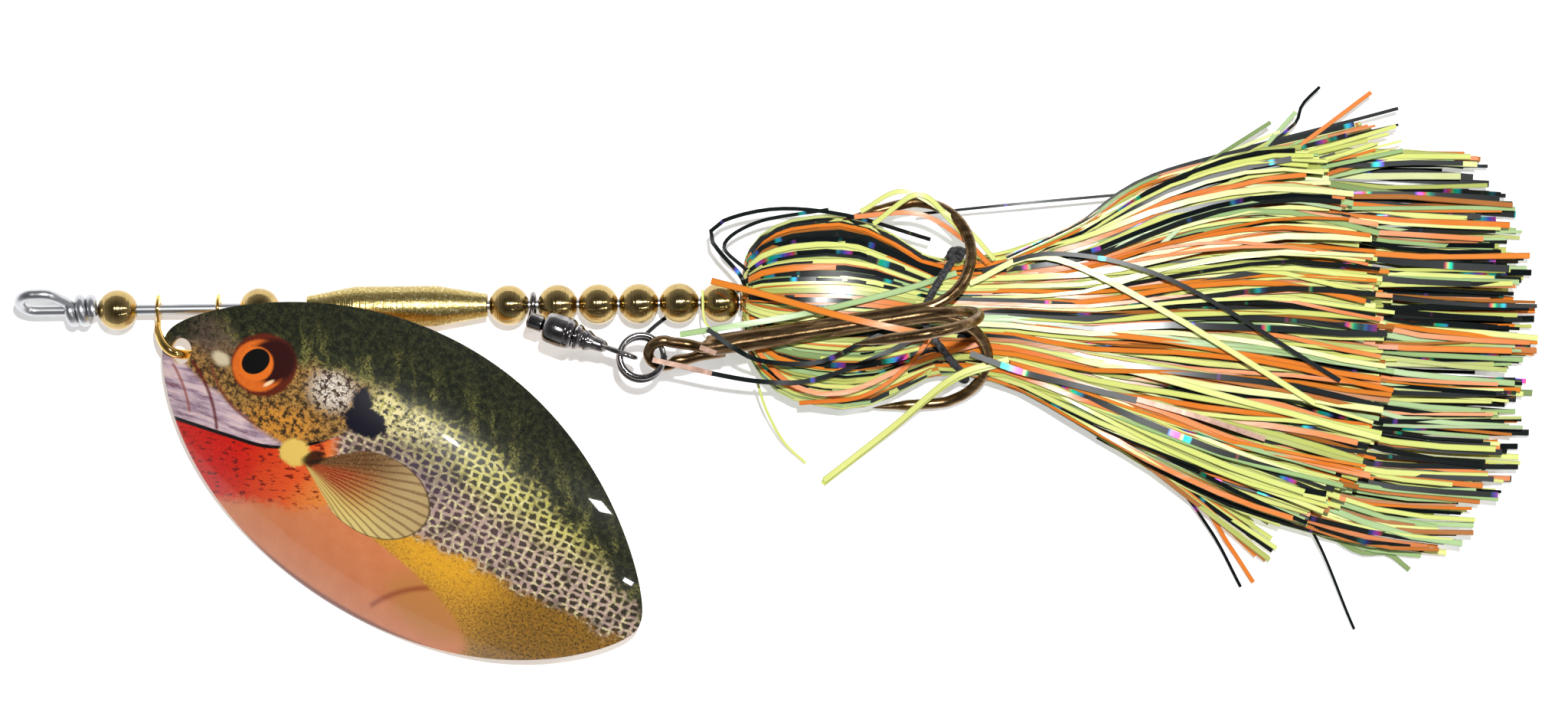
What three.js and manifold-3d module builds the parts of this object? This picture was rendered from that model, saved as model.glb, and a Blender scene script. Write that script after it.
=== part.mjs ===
// Inline spinner for large predator fish: a straight wire shaft that carries beads, a clevis with
// one wide blade, a turned brass body, a swivel with a treble hook, and a tinsel skirt.
// Millimetres. +X runs along the shaft from the line-tie eye to the tail, +Z is up.
// The lure lies on the plane z = 0, and x = 0, y = 0 is close to the middle of its outline.

import * as THREE from 'three';
import { mergeVertices } from 'three/addons/utils/BufferGeometryUtils.js';
import Module from 'manifold-3d';

// ---- Driving dimensions ----
const AXIS_HEIGHT = 5; // centre of the shaft above the surface
const SHAFT_SIDE = 16.7; // shaft from the middle of the outline, because the blade hangs to one side
const GAP = 0.3; // space left between pieces that rest on each other
const WIRE_RADIUS = 0.86; // stainless shaft wire
const RUNNING_BORE = 1.06; // bore of what turns on the shaft

const EYE_FRONT = -119.5; // foremost centre line of the line-tie eye
const EYE_WIDTH = 4.7; // distance between the centres of the eye's two sides
const EYE_ROLL = THREE.MathUtils.degToRad(58); // eye plane, turned about the shaft
const WRAP_START = -111.9;
const WRAP_PITCH = 1.9;
const WRAP_TURNS = 2;
const SHAFT_END = 14.5; // where the rear loop begins
const REAR_LOOP_RADIUS = 2;

const BEAD_RADIUS = 3.175; // quarter-inch bead
const BEAD_PITCH = 6.39;
const REAR_BEAD_COUNT = 5;
const FRONT_BEAD_X = -104.4;
const BLADE_BEAD_X = -82;
const BODY_BEAD_X = -42.6;
const FIRST_REAR_BEAD_X = -34.9;

const BODY_FRONT = -74.5;
const BODY_REAR = -46;
const BODY_RADIUS = 3.25;
const BODY_TIP_RADIUS = 1.85;
const BODY_FRONT_CONE = 7.5;
const BODY_REAR_CONE = 8;

const EAR_FRONT = -97.9;
const EAR_REAR = -88.4;
const EAR_RADIUS = 2.4;
const EAR_THICKNESS = 0.55;
const CLEVIS_WIRE_RADIUS = 0.72;

const BLADE_HALF_LENGTH = 45.6; // of the sharp-cornered outline
const BLADE_HALF_WIDTH = 23;
const BLADE_TIP_ROUNDING = 0.0045;
const BLADE_DEPTH = 9.5;
const BLADE_DOME_POWER = 2.6;
const BLADE_THICKNESS = 0.9;
const BLADE_CENTRE = new THREE.Vector3(-59.5, -27.2, 0.05); // from the shaft's centre line
const BLADE_TURN = THREE.MathUtils.degToRad(-32.6); // long axis, from the shaft
const BLADE_TILT = THREE.MathUtils.degToRad(11); // upper edge raised over the body
const BLADE_HOLE = new THREE.Vector2(-93.8, -6.6);
const BLADE_HOLE_RADIUS = 2.3;

const SWIVEL_CENTRE = new THREE.Vector3(-34.4, -4.2, 5.2);
const SWIVEL_AXIS = new THREE.Vector3(0.925, -0.34, 0.1).normalize();
const SWIVEL_RING_X = -38.75;
const SWIVEL_RADIUS = 2.55;
const SWIVEL_LOOP_HALF_WIDTH = 1.75;
const SWIVEL_LOOP_WIRE = 0.38;

const SPLIT_RING_CENTRE = new THREE.Vector3(-21.6, -8.5, 6.5);
const SPLIT_RING_RADIUS = 3.45;
const SPLIT_RING_WIRE = 0.38;
const SPLIT_RING_PITCH = 0.92;

const TREBLE_EYE = new THREE.Vector3(-18.1, -7.9, 6.4);
const TREBLE_TURN = THREE.MathUtils.degToRad(8); // towards +Y
const TREBLE_RISE = THREE.MathUtils.degToRad(4);
const TREBLE_ROLL = THREE.MathUtils.degToRad(10); // first hook leans towards -Y
const HOOK_WIRE_RADIUS = 0.95;
const HOOK_SHANK_OFFSET = 1.3;
const HOOK_BEND_RADIUS = 8.7;
const HOOK_BEND_START = 41;
const HOOK_POINT_BACK = 6.5;
const HOOK_POINT_LENGTH = 4;
const TREBLE_EYE_RADIUS = 2.4;

const SKIRT_BORE = 3.2;
const BULB_FRONT = -3.5;
const BULB_REAR = 21;
const BAND_X = 22.3;
const BAND_THICKNESS = 1.2;

// ---- Finishes ----
const steel = { color: 0xb4b6b8, roughness: 0.35, metalness: 1 };
const brass = { color: 0xc9a24a, roughness: 0.22, metalness: 1 };
const satinBrass = { color: 0xc2a456, roughness: 0.42, metalness: 1 };
const goldPlate = { color: 0xd9a637, roughness: 0.12, metalness: 1 };
const blackNickel = { color: 0x3a3836, roughness: 0.2, metalness: 1 };
const bronze = { color: 0x5d4326, roughness: 0.3, metalness: 1 };
const printedBlade = { color: 0x7d6a34, roughness: 0.15, metalness: 0.1 };
const paleTinsel = { color: 0xd7e58a, roughness: 0.4, metalness: 0.1 };
const darkTinsel = { color: 0x2a332a, roughness: 0.35, metalness: 0.3 };
const orangeTinsel = { color: 0xe88a35, roughness: 0.4, metalness: 0.1 };
const elastic = { color: 0x3b3a36, roughness: 0.9, metalness: 0 };
const thread = { color: 0x8a4a24, roughness: 0.8, metalness: 0 };

const spinner = new THREE.Group();
const line = new THREE.Group(); // its origin is on the shaft's centre line
line.position.set(0, SHAFT_SIDE, AXIS_HEIGHT);
spinner.add(line);

// Adds one named piece to a parent group.
function addPiece(name, geometry, finish, parent = line) {
  const mesh = new THREE.Mesh(geometry, new THREE.MeshStandardMaterial(finish));
  mesh.name = name;
  parent.add(mesh);
  return mesh;
}

// Merges shared corners, drops empty triangles and turns the faces outwards.
function weld(geometry) {
  const bare = geometry.clone();
  bare.deleteAttribute('normal');
  bare.deleteAttribute('uv');
  const merged = mergeVertices(bare, 1e-4);
  const position = merged.attributes.position;
  const index = merged.index.array;
  const kept = [];
  const a = new THREE.Vector3();
  const b = new THREE.Vector3();
  const c = new THREE.Vector3();
  let volume = 0;
  for (let i = 0; i < index.length; i += 3) {
    const [p, q, r] = [index[i], index[i + 1], index[i + 2]];
    if (p === q || q === r || r === p) continue;
    kept.push(p, q, r);
    a.fromBufferAttribute(position, p);
    b.fromBufferAttribute(position, q);
    c.fromBufferAttribute(position, r);
    volume += a.dot(b.cross(c));
  }
  merged.setIndex(volume < 0 ? kept.reverse() : kept);
  return merged;
}

const wasm = await Module();
wasm.setup();

function toSolid(geometry) {
  const welded = weld(geometry);
  return new wasm.Manifold(new wasm.Mesh({
    numProp: 3,
    vertProperties: new Float32Array(welded.attributes.position.array),
    triVerts: new Uint32Array(welded.index.array),
  }));
}

function toGeometry(solid) {
  const mesh = solid.getMesh();
  const geometry = new THREE.BufferGeometry();
  geometry.setAttribute('position', new THREE.BufferAttribute(mesh.vertProperties, 3));
  geometry.setIndex(new THREE.BufferAttribute(mesh.triVerts, 1));
  return geometry;
}

function joinAll(geometries) {
  const solids = geometries.map(toSolid);
  return toGeometry(solids.reduce((whole, next) => whole.add(next)));
}

// A closed solid turned about the X axis, from [x, radius] corners.
function turned(corners, segments) {
  const profile = corners.map(([x, radius]) => new THREE.Vector2(radius, x));
  return weld(new THREE.LatheGeometry(profile, segments).rotateZ(-Math.PI / 2));
}

// A ring turned about the X axis, whose profile closes on itself.
function turnedRing(corners, segments) {
  return turned([...corners, corners[0]], segments);
}

function roundSection(radius, sides) {
  const section = new THREE.Shape();
  for (let i = 0; i < sides; i += 1) {
    const angle = (2 * Math.PI * i) / sides;
    const [x, y] = [radius * Math.cos(angle), radius * Math.sin(angle)];
    if (i === 0) section.moveTo(x, y);
    else section.lineTo(x, y);
  }
  section.closePath();
  return section;
}

// A round wire along a smooth line through the points.
function wire(points, radius, steps, sides = 8) {
  const path = new THREE.CatmullRomCurve3(points, false, 'centripetal');
  const settings = { steps, extrudePath: path, bevelEnabled: false };
  return weld(new THREE.ExtrudeGeometry(roundSection(radius, sides), settings));
}

// Points on a round arc: centre + radius * (cos * across + sin * up).
function arcPoints(centre, across, up, radius, from, to, count) {
  const points = [];
  for (let i = 0; i <= count; i += 1) {
    const angle = from + ((to - from) * i) / count;
    points.push(centre.clone()
      .addScaledVector(across, radius * Math.cos(angle))
      .addScaledVector(up, radius * Math.sin(angle)));
  }
  return points;
}

const alongX = new THREE.Vector3(1, 0, 0);
const alongY = new THREE.Vector3(0, 1, 0);
const alongZ = new THREE.Vector3(0, 0, 1);

// ---- Shaft: one wire with the line-tie eye, its wraps, and a loop at the rear ----
function shaftGeometry() {
  const side = new THREE.Vector3(0, Math.cos(EYE_ROLL), Math.sin(EYE_ROLL));
  const down = new THREE.Vector3().crossVectors(alongX, side);
  const halfWidth = EYE_WIDTH / 2;
  const bowCentre = new THREE.Vector3(EYE_FRONT + halfWidth, 0, 0).addScaledVector(side, halfWidth);
  const bow = arcPoints(bowCentre, side, alongX, halfWidth, Math.PI, 2 * Math.PI, 10);
  const wrapRadius = 2 * WIRE_RADIUS + 0.16;
  const wraps = [];
  const wrapSteps = 12 * WRAP_TURNS;
  for (let i = 0; i <= wrapSteps; i += 1) {
    const angle = (2 * Math.PI * i) / 12;
    wraps.push(new THREE.Vector3(WRAP_START + (WRAP_PITCH * i) / 12, 0, 0)
      .addScaledVector(side, wrapRadius * Math.cos(angle))
      .addScaledVector(down, wrapRadius * Math.sin(angle)));
  }
  const shoulder = new THREE.Vector3(EYE_FRONT + 5.2, 0, 0).addScaledVector(side, EYE_WIDTH - 0.5);
  const eye = wire([
    new THREE.Vector3(EYE_FRONT + halfWidth + 1.2, 0, 0),
    ...bow,
    shoulder,
    ...wraps,
  ], WIRE_RADIUS, 62);

  const straightStart = EYE_FRONT + halfWidth + 0.6;
  const length = SHAFT_END - straightStart;
  const straight = new THREE.CylinderGeometry(WIRE_RADIUS, WIRE_RADIUS, length, 12)
    .rotateZ(-Math.PI / 2)
    .translate((SHAFT_END + straightStart) / 2, 0, 0);

  const loopCentre = new THREE.Vector3(SHAFT_END + REAR_LOOP_RADIUS + 0.4, 0, 0);
  const rear = wire([
    new THREE.Vector3(SHAFT_END - 0.4, 0, 0),
    ...arcPoints(loopCentre, alongX, alongY, REAR_LOOP_RADIUS, -0.83 * Math.PI, 0.8 * Math.PI, 12),
  ], WIRE_RADIUS, 18);
  return joinAll([straight, eye, rear]);
}
addPiece('shaft_wire', shaftGeometry(), steel);

// ---- Beads: drilled balls that turn on the shaft ----
function beadGeometry() {
  const open = Math.asin(RUNNING_BORE / BEAD_RADIUS);
  const corners = [];
  const steps = 8;
  for (let i = 0; i <= steps; i += 1) {
    const angle = open + ((Math.PI - 2 * open) * i) / steps;
    corners.push([-BEAD_RADIUS * Math.cos(angle), BEAD_RADIUS * Math.sin(angle)]);
  }
  return turnedRing(corners, 16);
}
const beadPlaces = [FRONT_BEAD_X, BLADE_BEAD_X, BODY_BEAD_X];
for (let i = 0; i < REAR_BEAD_COUNT; i += 1) beadPlaces.push(FIRST_REAR_BEAD_X + BEAD_PITCH * i);
beadPlaces.forEach((x, i) => {
  addPiece(`bead_${i + 1}`, beadGeometry(), brass).position.x = x;
});

// ---- Body: a bored brass bar with a cone at each end ----
addPiece('brass_body', turnedRing([
  [BODY_FRONT, RUNNING_BORE],
  [BODY_FRONT, BODY_TIP_RADIUS],
  [BODY_FRONT + BODY_FRONT_CONE, BODY_RADIUS],
  [BODY_REAR - BODY_REAR_CONE, BODY_RADIUS],
  [BODY_REAR, BODY_TIP_RADIUS],
  [BODY_REAR, RUNNING_BORE],
], 24), satinBrass);

// ---- Clevis: a bent wire with a flat drilled ear at each end, astride the shaft ----
function clevisGeometry() {
  const bow = wire([
    new THREE.Vector3(EAR_FRONT, -1.7, 0.9),
    new THREE.Vector3(EAR_FRONT + 0.1, -3.4, 2),
    new THREE.Vector3(EAR_FRONT + 1, -5.4, 2.95),
    new THREE.Vector3(EAR_FRONT + 2.4, -6.7, 3.05),
    new THREE.Vector3(EAR_FRONT + 4.1, -7.15, 2.1),
    new THREE.Vector3(EAR_FRONT + 5.6, -7.0, 0.85),
    new THREE.Vector3(EAR_REAR - 1.8, -6, 0.1),
    new THREE.Vector3(EAR_REAR - 0.4, -4.2, -0.1),
    new THREE.Vector3(EAR_REAR, -1.9, 0),
  ], CLEVIS_WIRE_RADIUS, 26);
  const ears = [EAR_FRONT, EAR_REAR].map((x) => turnedRing([
    [x - EAR_THICKNESS / 2, RUNNING_BORE],
    [x - EAR_THICKNESS / 2, EAR_RADIUS],
    [x + EAR_THICKNESS / 2, EAR_RADIUS],
    [x + EAR_THICKNESS / 2, RUNNING_BORE],
  ], 18));
  const whole = [bow, ...ears].map(toSolid).reduce((sum, next) => sum.add(next));
  const bore = new THREE.CylinderGeometry(RUNNING_BORE, RUNNING_BORE, 14, 18)
    .rotateZ(-Math.PI / 2)
    .translate((EAR_FRONT + EAR_REAR) / 2, 0, 0);
  return toGeometry(whole.subtract(toSolid(bore)));
}
addPiece('clevis', clevisGeometry(), goldPlate);

// ---- Blade: a pressed leaf-shaped shell, domed upwards, with one hole near its front corner ----
const bladeArcRadius = (BLADE_HALF_LENGTH ** 2 + BLADE_HALF_WIDTH ** 2) / (2 * BLADE_HALF_WIDTH);
const bladeArcDrop = bladeArcRadius - BLADE_HALF_WIDTH;

// Distance from the blade's middle to its edge: two arcs that meet in two rounded corners.
function bladeReach(angle) {
  const lean = Math.sqrt(Math.sin(angle) ** 2 + BLADE_TIP_ROUNDING);
  const drop = bladeArcDrop * lean;
  return Math.sqrt(drop ** 2 + BLADE_HALF_LENGTH ** 2) - drop;
}

function bladeDome(u, v) {
  const share = Math.hypot(u / BLADE_HALF_LENGTH, v / BLADE_HALF_WIDTH);
  return BLADE_DEPTH * (1 - Math.min(share, 1.05) ** BLADE_DOME_POWER);
}

function bladeGeometry() {
  const rings = 6;
  const half = BLADE_THICKNESS / 2;
  const corners = [];
  for (let i = 0; i <= rings; i += 1) corners.push([-half, i / rings]);
  for (let i = rings; i >= 0; i -= 1) corners.push([half, i / rings]);
  const profile = corners.map(([height, share]) => new THREE.Vector2(share, height));
  const shell = weld(new THREE.LatheGeometry(profile, 44).rotateX(Math.PI / 2));
  const position = shell.attributes.position;
  for (let i = 0; i < position.count; i += 1) {
    const [x, y, z] = [position.getX(i), position.getY(i), position.getZ(i)];
    const reach = bladeReach(Math.atan2(y, x));
    position.setXYZ(i, x * reach, y * reach, z + bladeDome(x * reach, y * reach));
  }
  shell.rotateX(BLADE_TILT).rotateZ(BLADE_TURN);
  shell.translate(BLADE_CENTRE.x, BLADE_CENTRE.y, BLADE_CENTRE.z);
  const drill = new THREE.CylinderGeometry(BLADE_HOLE_RADIUS, BLADE_HOLE_RADIUS, 12, 18)
    .rotateX(Math.PI / 2)
    .rotateY(THREE.MathUtils.degToRad(-24))
    .translate(BLADE_HOLE.x, BLADE_HOLE.y, 2);
  return toGeometry(toSolid(weld(shell)).subtract(toSolid(drill)));
}
addPiece('blade', bladeGeometry(), printedBlade);

// ---- Swivel: a ring round the shaft, a stem, a barrel with balls in it, and a rear loop ----
const swivel = new THREE.Group();
swivel.position.copy(SWIVEL_CENTRE);
swivel.quaternion.setFromUnitVectors(alongX, SWIVEL_AXIS);
line.add(swivel);
swivel.updateMatrix();
const toSwivel = swivel.matrix.clone().invert();

function swivelHeadGeometry() {
  const stem = turned([
    [-5.4, 0], [-5.4, 0.9], [-4.9, 1.3], [-3, 1.3], [-2.75, 0.75], [-1.2, 0.75], [-1.2, 1.45],
    [-0.55, 1.45], [-0.55, 0],
  ], 14);
  const ring = turnedRing([
    [SWIVEL_RING_X - 0.7, 1.2],
    [SWIVEL_RING_X - 0.7, 2.1],
    [SWIVEL_RING_X + 0.7, 2.1],
    [SWIVEL_RING_X + 0.7, 1.2],
  ], 18).applyMatrix4(toSwivel);
  const foot = new THREE.Vector3(SWIVEL_RING_X, -0.85, 1.45).applyMatrix4(toSwivel);
  const middle = new THREE.Vector3(SWIVEL_RING_X - 0.1, -1.75, 3).applyMatrix4(toSwivel);
  const leg = wire([foot, middle, new THREE.Vector3(-4.7, 0, 0)], 0.62, 6);
  return joinAll([stem, ring, leg]);
}
addPiece('swivel_head', swivelHeadGeometry(), blackNickel, swivel);

addPiece('swivel_barrel', turnedRing([
  [-2.4, 1.1], [-2.4, 2.15], [-2, SWIVEL_RADIUS], [1.7, SWIVEL_RADIUS], [2.4, 2],
  [2.4, 1.1], [1.7, 1.1], [1.7, 1.95], [-1.7, 1.95], [-1.7, 1.1],
], 18), blackNickel, swivel);

addPiece('swivel_balls', turnedRing([
  [-0.3, 1.1], [-0.3, 1.6], [0.3, 1.6], [0.3, 1.1],
], 12), steel, swivel);

function swivelTailGeometry() {
  const cone = turned([
    [0.55, 0], [0.55, 1.45], [1.2, 1.45], [1.2, 0.75], [2.75, 0.75], [2.75, 2.1], [3.7, 1.95],
    [3.95, 1.5], [4.3, 1.5], [4.5, 1.75], [5.3, 1.2], [7.6, 0.95], [7.9, 0.5], [7.9, 0],
  ], 14);
  const half = SWIVEL_LOOP_HALF_WIDTH;
  const front = new THREE.Vector3(8.9, 0, 0);
  const rear = new THREE.Vector3(11.2, 0, 0);
  const loop = wire([
    new THREE.Vector3(7.1, 0, 0.3),
    new THREE.Vector3(7.9, 0, 1.35),
    front.clone().setZ(half),
    ...arcPoints(rear, alongX, alongZ, half, Math.PI / 2, -Math.PI / 2, 8),
    front.clone().setZ(-half),
    new THREE.Vector3(7.9, 0, -1.35),
    new THREE.Vector3(7.1, 0, -0.3),
  ], SWIVEL_LOOP_WIRE, 30, 8);
  return joinAll([cone, loop]);
}
addPiece('swivel_tail', swivelTailGeometry(), blackNickel, swivel);

// ---- Split ring: two close turns of spring wire ----
function splitRingGeometry() {
  const points = [];
  const turns = 1.9;
  const perTurn = 16;
  const count = Math.round(turns * perTurn);
  for (let i = 0; i <= count; i += 1) {
    const angle = (2 * Math.PI * i) / perTurn + 0.6;
    const height = SPLIT_RING_PITCH * (i / perTurn - turns / 2);
    points.push(new THREE.Vector3(
      SPLIT_RING_RADIUS * Math.cos(angle),
      SPLIT_RING_RADIUS * Math.sin(angle),
      height,
    ));
  }
  return wire(points, SPLIT_RING_WIRE, 44, 6);
}
addPiece('split_ring', splitRingGeometry(), blackNickel).position.copy(SPLIT_RING_CENTRE);

// ---- Treble: three hooks side by side, the first with the eye ----
const treble = new THREE.Group();
treble.position.copy(TREBLE_EYE);
treble.rotation.set(0, -TREBLE_RISE, TREBLE_TURN, 'ZYX');
line.add(treble);

// Each hook lies in the plane of the shank and its own outward direction.
function hookGeometry(angle, withEye) {
  const outward = new THREE.Vector3(0, -Math.sin(angle), Math.cos(angle));
  const at = (along, out) => alongX.clone().multiplyScalar(along).addScaledVector(outward, out);
  const bendCentre = at(HOOK_BEND_START, HOOK_SHANK_OFFSET + HOOK_BEND_RADIUS);
  const bend = arcPoints(bendCentre, alongX, outward, HOOK_BEND_RADIUS,
    -Math.PI / 2, Math.PI / 2, 12);
  const reach = HOOK_SHANK_OFFSET + 2 * HOOK_BEND_RADIUS;
  const legEnd = at(HOOK_BEND_START - HOOK_POINT_BACK, reach - 0.7);
  const shank = [at(14, HOOK_SHANK_OFFSET), at(26, HOOK_SHANK_OFFSET)];
  let start = [at(7, HOOK_SHANK_OFFSET)];
  let steps = 44;
  if (withEye) {
    const eye = arcPoints(at(0, 0), alongX, outward, TREBLE_EYE_RADIUS,
      -0.25 * Math.PI, -1.72 * Math.PI, 12);
    start = [at(5.3, -HOOK_SHANK_OFFSET - 0.1), at(3.2, -1.5), ...eye, at(4.5, 1.3)];
    steps = 66;
  }
  const shape = wire([...start, ...shank, ...bend, legEnd], HOOK_WIRE_RADIUS, steps);
  const pointDirection = legEnd.clone().sub(at(HOOK_BEND_START, reach)).normalize();
  const cone = new THREE.CylinderGeometry(0.12, HOOK_WIRE_RADIUS * 0.97, HOOK_POINT_LENGTH, 8)
    .translate(0, HOOK_POINT_LENGTH / 2 - 0.2, 0);
  cone.applyQuaternion(new THREE.Quaternion().setFromUnitVectors(alongY, pointDirection));
  cone.translate(legEnd.x, legEnd.y, legEnd.z);
  return joinAll([shape, cone]);
}
for (let i = 0; i < 3; i += 1) {
  const angle = TREBLE_ROLL + (2 * Math.PI * i) / 3;
  addPiece(`treble_hook_${i + 1}`, hookGeometry(angle, i === 0), bronze, treble);
}

// ---- Skirt mounting: a collar, a core tube on the shaft, and two tying threads over it ----
function sleeve(front, rear, inner, outer, segments) {
  return turnedRing([[front, inner], [front, outer], [rear, outer], [rear, inner]], segments);
}
addPiece('skirt_collar', sleeve(-6.1, -4, RUNNING_BORE, 1.5, 18), satinBrass);
addPiece('core_tube', sleeve(-3.7, 13.4, RUNNING_BORE, 1.6, 16), darkTinsel);
addPiece('front_thread', sleeve(-3.1, 1.2, 1.6 + GAP, 2.7, 16), thread);
addPiece('rear_thread', sleeve(5.5, 9.5, 1.6 + GAP, 2.7, 16), thread);

// ---- Skirt: bundles of flat ribbon, each a closed form of the bundle's outer shape ----
// A station is [x, half width, half height, y of the middle, z of the middle above the surface].
function bundle(stations, segments) {
  const first = stations[0][0];
  const last = stations[stations.length - 1][0];
  const corners = [[first, 0], ...stations.map(([x]) => [x, 1]), [last, 0]];
  const shape = turned(corners, segments);
  const position = shape.attributes.position;
  for (let i = 0; i < position.count; i += 1) {
    const x = position.getX(i);
    const [, width, height, middleY, middleZ] = stations.find((s) => Math.abs(s[0] - x) < 1e-3);
    const y = middleY + width * position.getY(i);
    const z = Math.max(0, middleZ + height * position.getZ(i));
    position.setXYZ(i, x, y, z - AXIS_HEIGHT);
  }
  return weld(shape);
}

function bulbGeometry() {
  const outside = bundle([
    [BULB_FRONT, 4.6, 4.2, 0, AXIS_HEIGHT],
    [-0.5, 7.2, 4.6, -0.2, AXIS_HEIGHT],
    [4, 8.6, 4.8, -0.5, AXIS_HEIGHT],
    [12, 8.6, 4.8, -0.6, AXIS_HEIGHT],
    [17, 7.6, 4.6, -0.6, AXIS_HEIGHT],
    [BULB_REAR, 6.6, 4.3, -0.6, AXIS_HEIGHT],
  ], 24);
  const bore = new THREE.CylinderGeometry(SKIRT_BORE, SKIRT_BORE, 40, 18)
    .rotateZ(-Math.PI / 2)
    .translate(8, 0, 0);
  return toGeometry(toSolid(outside).subtract(toSolid(bore)));
}
addPiece('skirt_bulb', bulbGeometry(), orangeTinsel);

addPiece('skirt_short_layer', bundle([
  [BULB_REAR + GAP, 6.4, 3.6, -0.6, 5.5],
  [28, 6.4, 3.5, -0.5, 5.3],
  [34, 6.8, 3.1, -0.7, 5.8],
  [38, 9, 3.1, -1.6, 7.1],
  [48, 15, 3.6, -4, 7.6],
  [62, 21, 3.5, -6, 7.5],
  [78, 27.5, 3, -8.8, 7],
  [94.5, 32, 2.2, -10.3, 6.2],
], 24), paleTinsel);

addPiece('skirt_long_layer', bundle([
  [37.5, 8, 2, -2.4, 1.4],
  [48, 14, 2.4, -4, 1.2],
  [64, 21, 2.5, -6.2, 1.1],
  [84, 28.5, 2.5, -9.2, 1],
  [104, 33, 2.4, -10.8, 1],
  [113, 32, 2.2, -10.6, 0.9],
  [120.3, 14, 1.6, -6, 0.8],
], 24), darkTinsel);

// ---- Band: an elastic cord loop round the waist of the skirt ----
function bandGeometry() {
  const cord = BAND_THICKNESS / 2;
  const ring = new THREE.TorusGeometry(1, 0.1, 8, 28).rotateY(Math.PI / 2);
  const position = ring.attributes.position;
  for (let i = 0; i < position.count; i += 1) {
    const [x, y, z] = [position.getX(i), position.getY(i), position.getZ(i)];
    const reach = Math.hypot(y, z);
    const out = ((reach - 1) / 0.1) * cord;
    const [cosine, sine] = [y / reach, z / reach];
    position.setXYZ(i, (x / 0.1) * cord, cosine * (7.25 + out), sine * (4.6 + out));
  }
  return weld(ring).translate(BAND_X, -0.65, 5.5 - AXIS_HEIGHT);
}
addPiece('elastic_band', bandGeometry(), elastic);

export default spinner;
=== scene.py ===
import math
import random

import bpy
from mathutils import Matrix, Vector


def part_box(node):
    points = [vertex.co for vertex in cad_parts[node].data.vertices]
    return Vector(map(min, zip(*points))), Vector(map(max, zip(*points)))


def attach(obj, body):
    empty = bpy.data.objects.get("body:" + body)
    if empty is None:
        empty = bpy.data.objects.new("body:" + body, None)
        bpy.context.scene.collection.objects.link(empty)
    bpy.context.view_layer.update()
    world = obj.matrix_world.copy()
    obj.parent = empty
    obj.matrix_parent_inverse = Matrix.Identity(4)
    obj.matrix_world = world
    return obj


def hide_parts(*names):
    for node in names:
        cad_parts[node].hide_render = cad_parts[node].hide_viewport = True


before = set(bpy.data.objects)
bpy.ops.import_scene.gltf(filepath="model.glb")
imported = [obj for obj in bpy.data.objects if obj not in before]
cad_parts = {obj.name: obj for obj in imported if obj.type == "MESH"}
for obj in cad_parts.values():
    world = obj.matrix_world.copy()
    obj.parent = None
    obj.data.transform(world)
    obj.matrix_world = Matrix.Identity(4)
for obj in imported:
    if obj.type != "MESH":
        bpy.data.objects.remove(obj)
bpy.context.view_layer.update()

# ---- Stage: the lure lies on a white table under one small flash and two lamps. The camera looks
# straight down on it, and the room's light fades from the walls to the ceiling.
MM = 0.001
bead_low, bead_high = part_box("bead_1")
SHAFT_Y = (bead_low[1] + bead_high[1]) / 2
SHAFT_Z = (bead_low[2] + bead_high[2]) / 2


def deselect():
    """Back to object mode with nothing selected."""
    if bpy.context.object and bpy.context.object.mode != "OBJECT":
        bpy.ops.object.mode_set(mode="OBJECT")
    bpy.ops.object.select_all(action="DESELECT")


VIEW_WIDTH = 0.2476
VIEW_MIDDLE = (0.0007, SHAFT_Y - 0.0091)
CAMERA_HEIGHT = 0.75
CAMERA_ROLL = math.radians(-0.7)

deselect()
bpy.ops.object.camera_add(location=(*VIEW_MIDDLE, CAMERA_HEIGHT), rotation=(0, 0, CAMERA_ROLL))
camera = bpy.context.object
camera.data.lens = camera.data.sensor_width * (CAMERA_HEIGHT - SHAFT_Z) / VIEW_WIDTH
camera.data.clip_start = 0.01
bpy.context.scene.camera = camera

deselect()
bpy.ops.mesh.primitive_plane_add(size=6)
table = bpy.context.object
table.name = "table"


def area_light(name, place, size, power):
    """A square lamp that points at the middle of the table."""
    deselect()
    bpy.ops.object.light_add(type="AREA", location=place)
    light = bpy.context.object
    light.name = name
    light.data.size = size
    light.data.energy = power
    light.rotation_euler = (-Vector(place)).to_track_quat("-Z", "Y").to_euler()
    return light


area_light("flash", (0.05, 0.15, 0.85), 0.025, 6.6)
area_light("lamp", (0.71, 0.20, 0.78), 0.08, 1.6)
area_light("far_lamp", (0.62, -0.41, 0.78), 0.05, 0.8)

world = bpy.context.scene.world or bpy.data.worlds.new("room")
bpy.context.scene.world = world
world.use_nodes = True
background = world.node_tree.nodes.get("Background") or world.node_tree.nodes.new("ShaderNodeBackground")
background.inputs["Strength"].default_value = 1.0
sky = world.node_tree.nodes.new("ShaderNodeTexCoord")
height = world.node_tree.nodes.new("ShaderNodeSeparateXYZ")
shade = world.node_tree.nodes.new("ShaderNodeValToRGB")
walls, ceiling = shade.color_ramp.elements
walls.position = 0.1
walls.color = (0.4, 0.4, 0.42, 1)
ceiling.position = 0.85
ceiling.color = (0.06, 0.06, 0.065, 1)
world.node_tree.links.new(sky.outputs["Generated"], height.inputs["Vector"])
world.node_tree.links.new(height.outputs["Z"], shade.inputs["Fac"])
world.node_tree.links.new(shade.outputs["Color"], background.inputs["Color"])
bpy.context.scene.view_settings.view_transform = "Standard"


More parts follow.
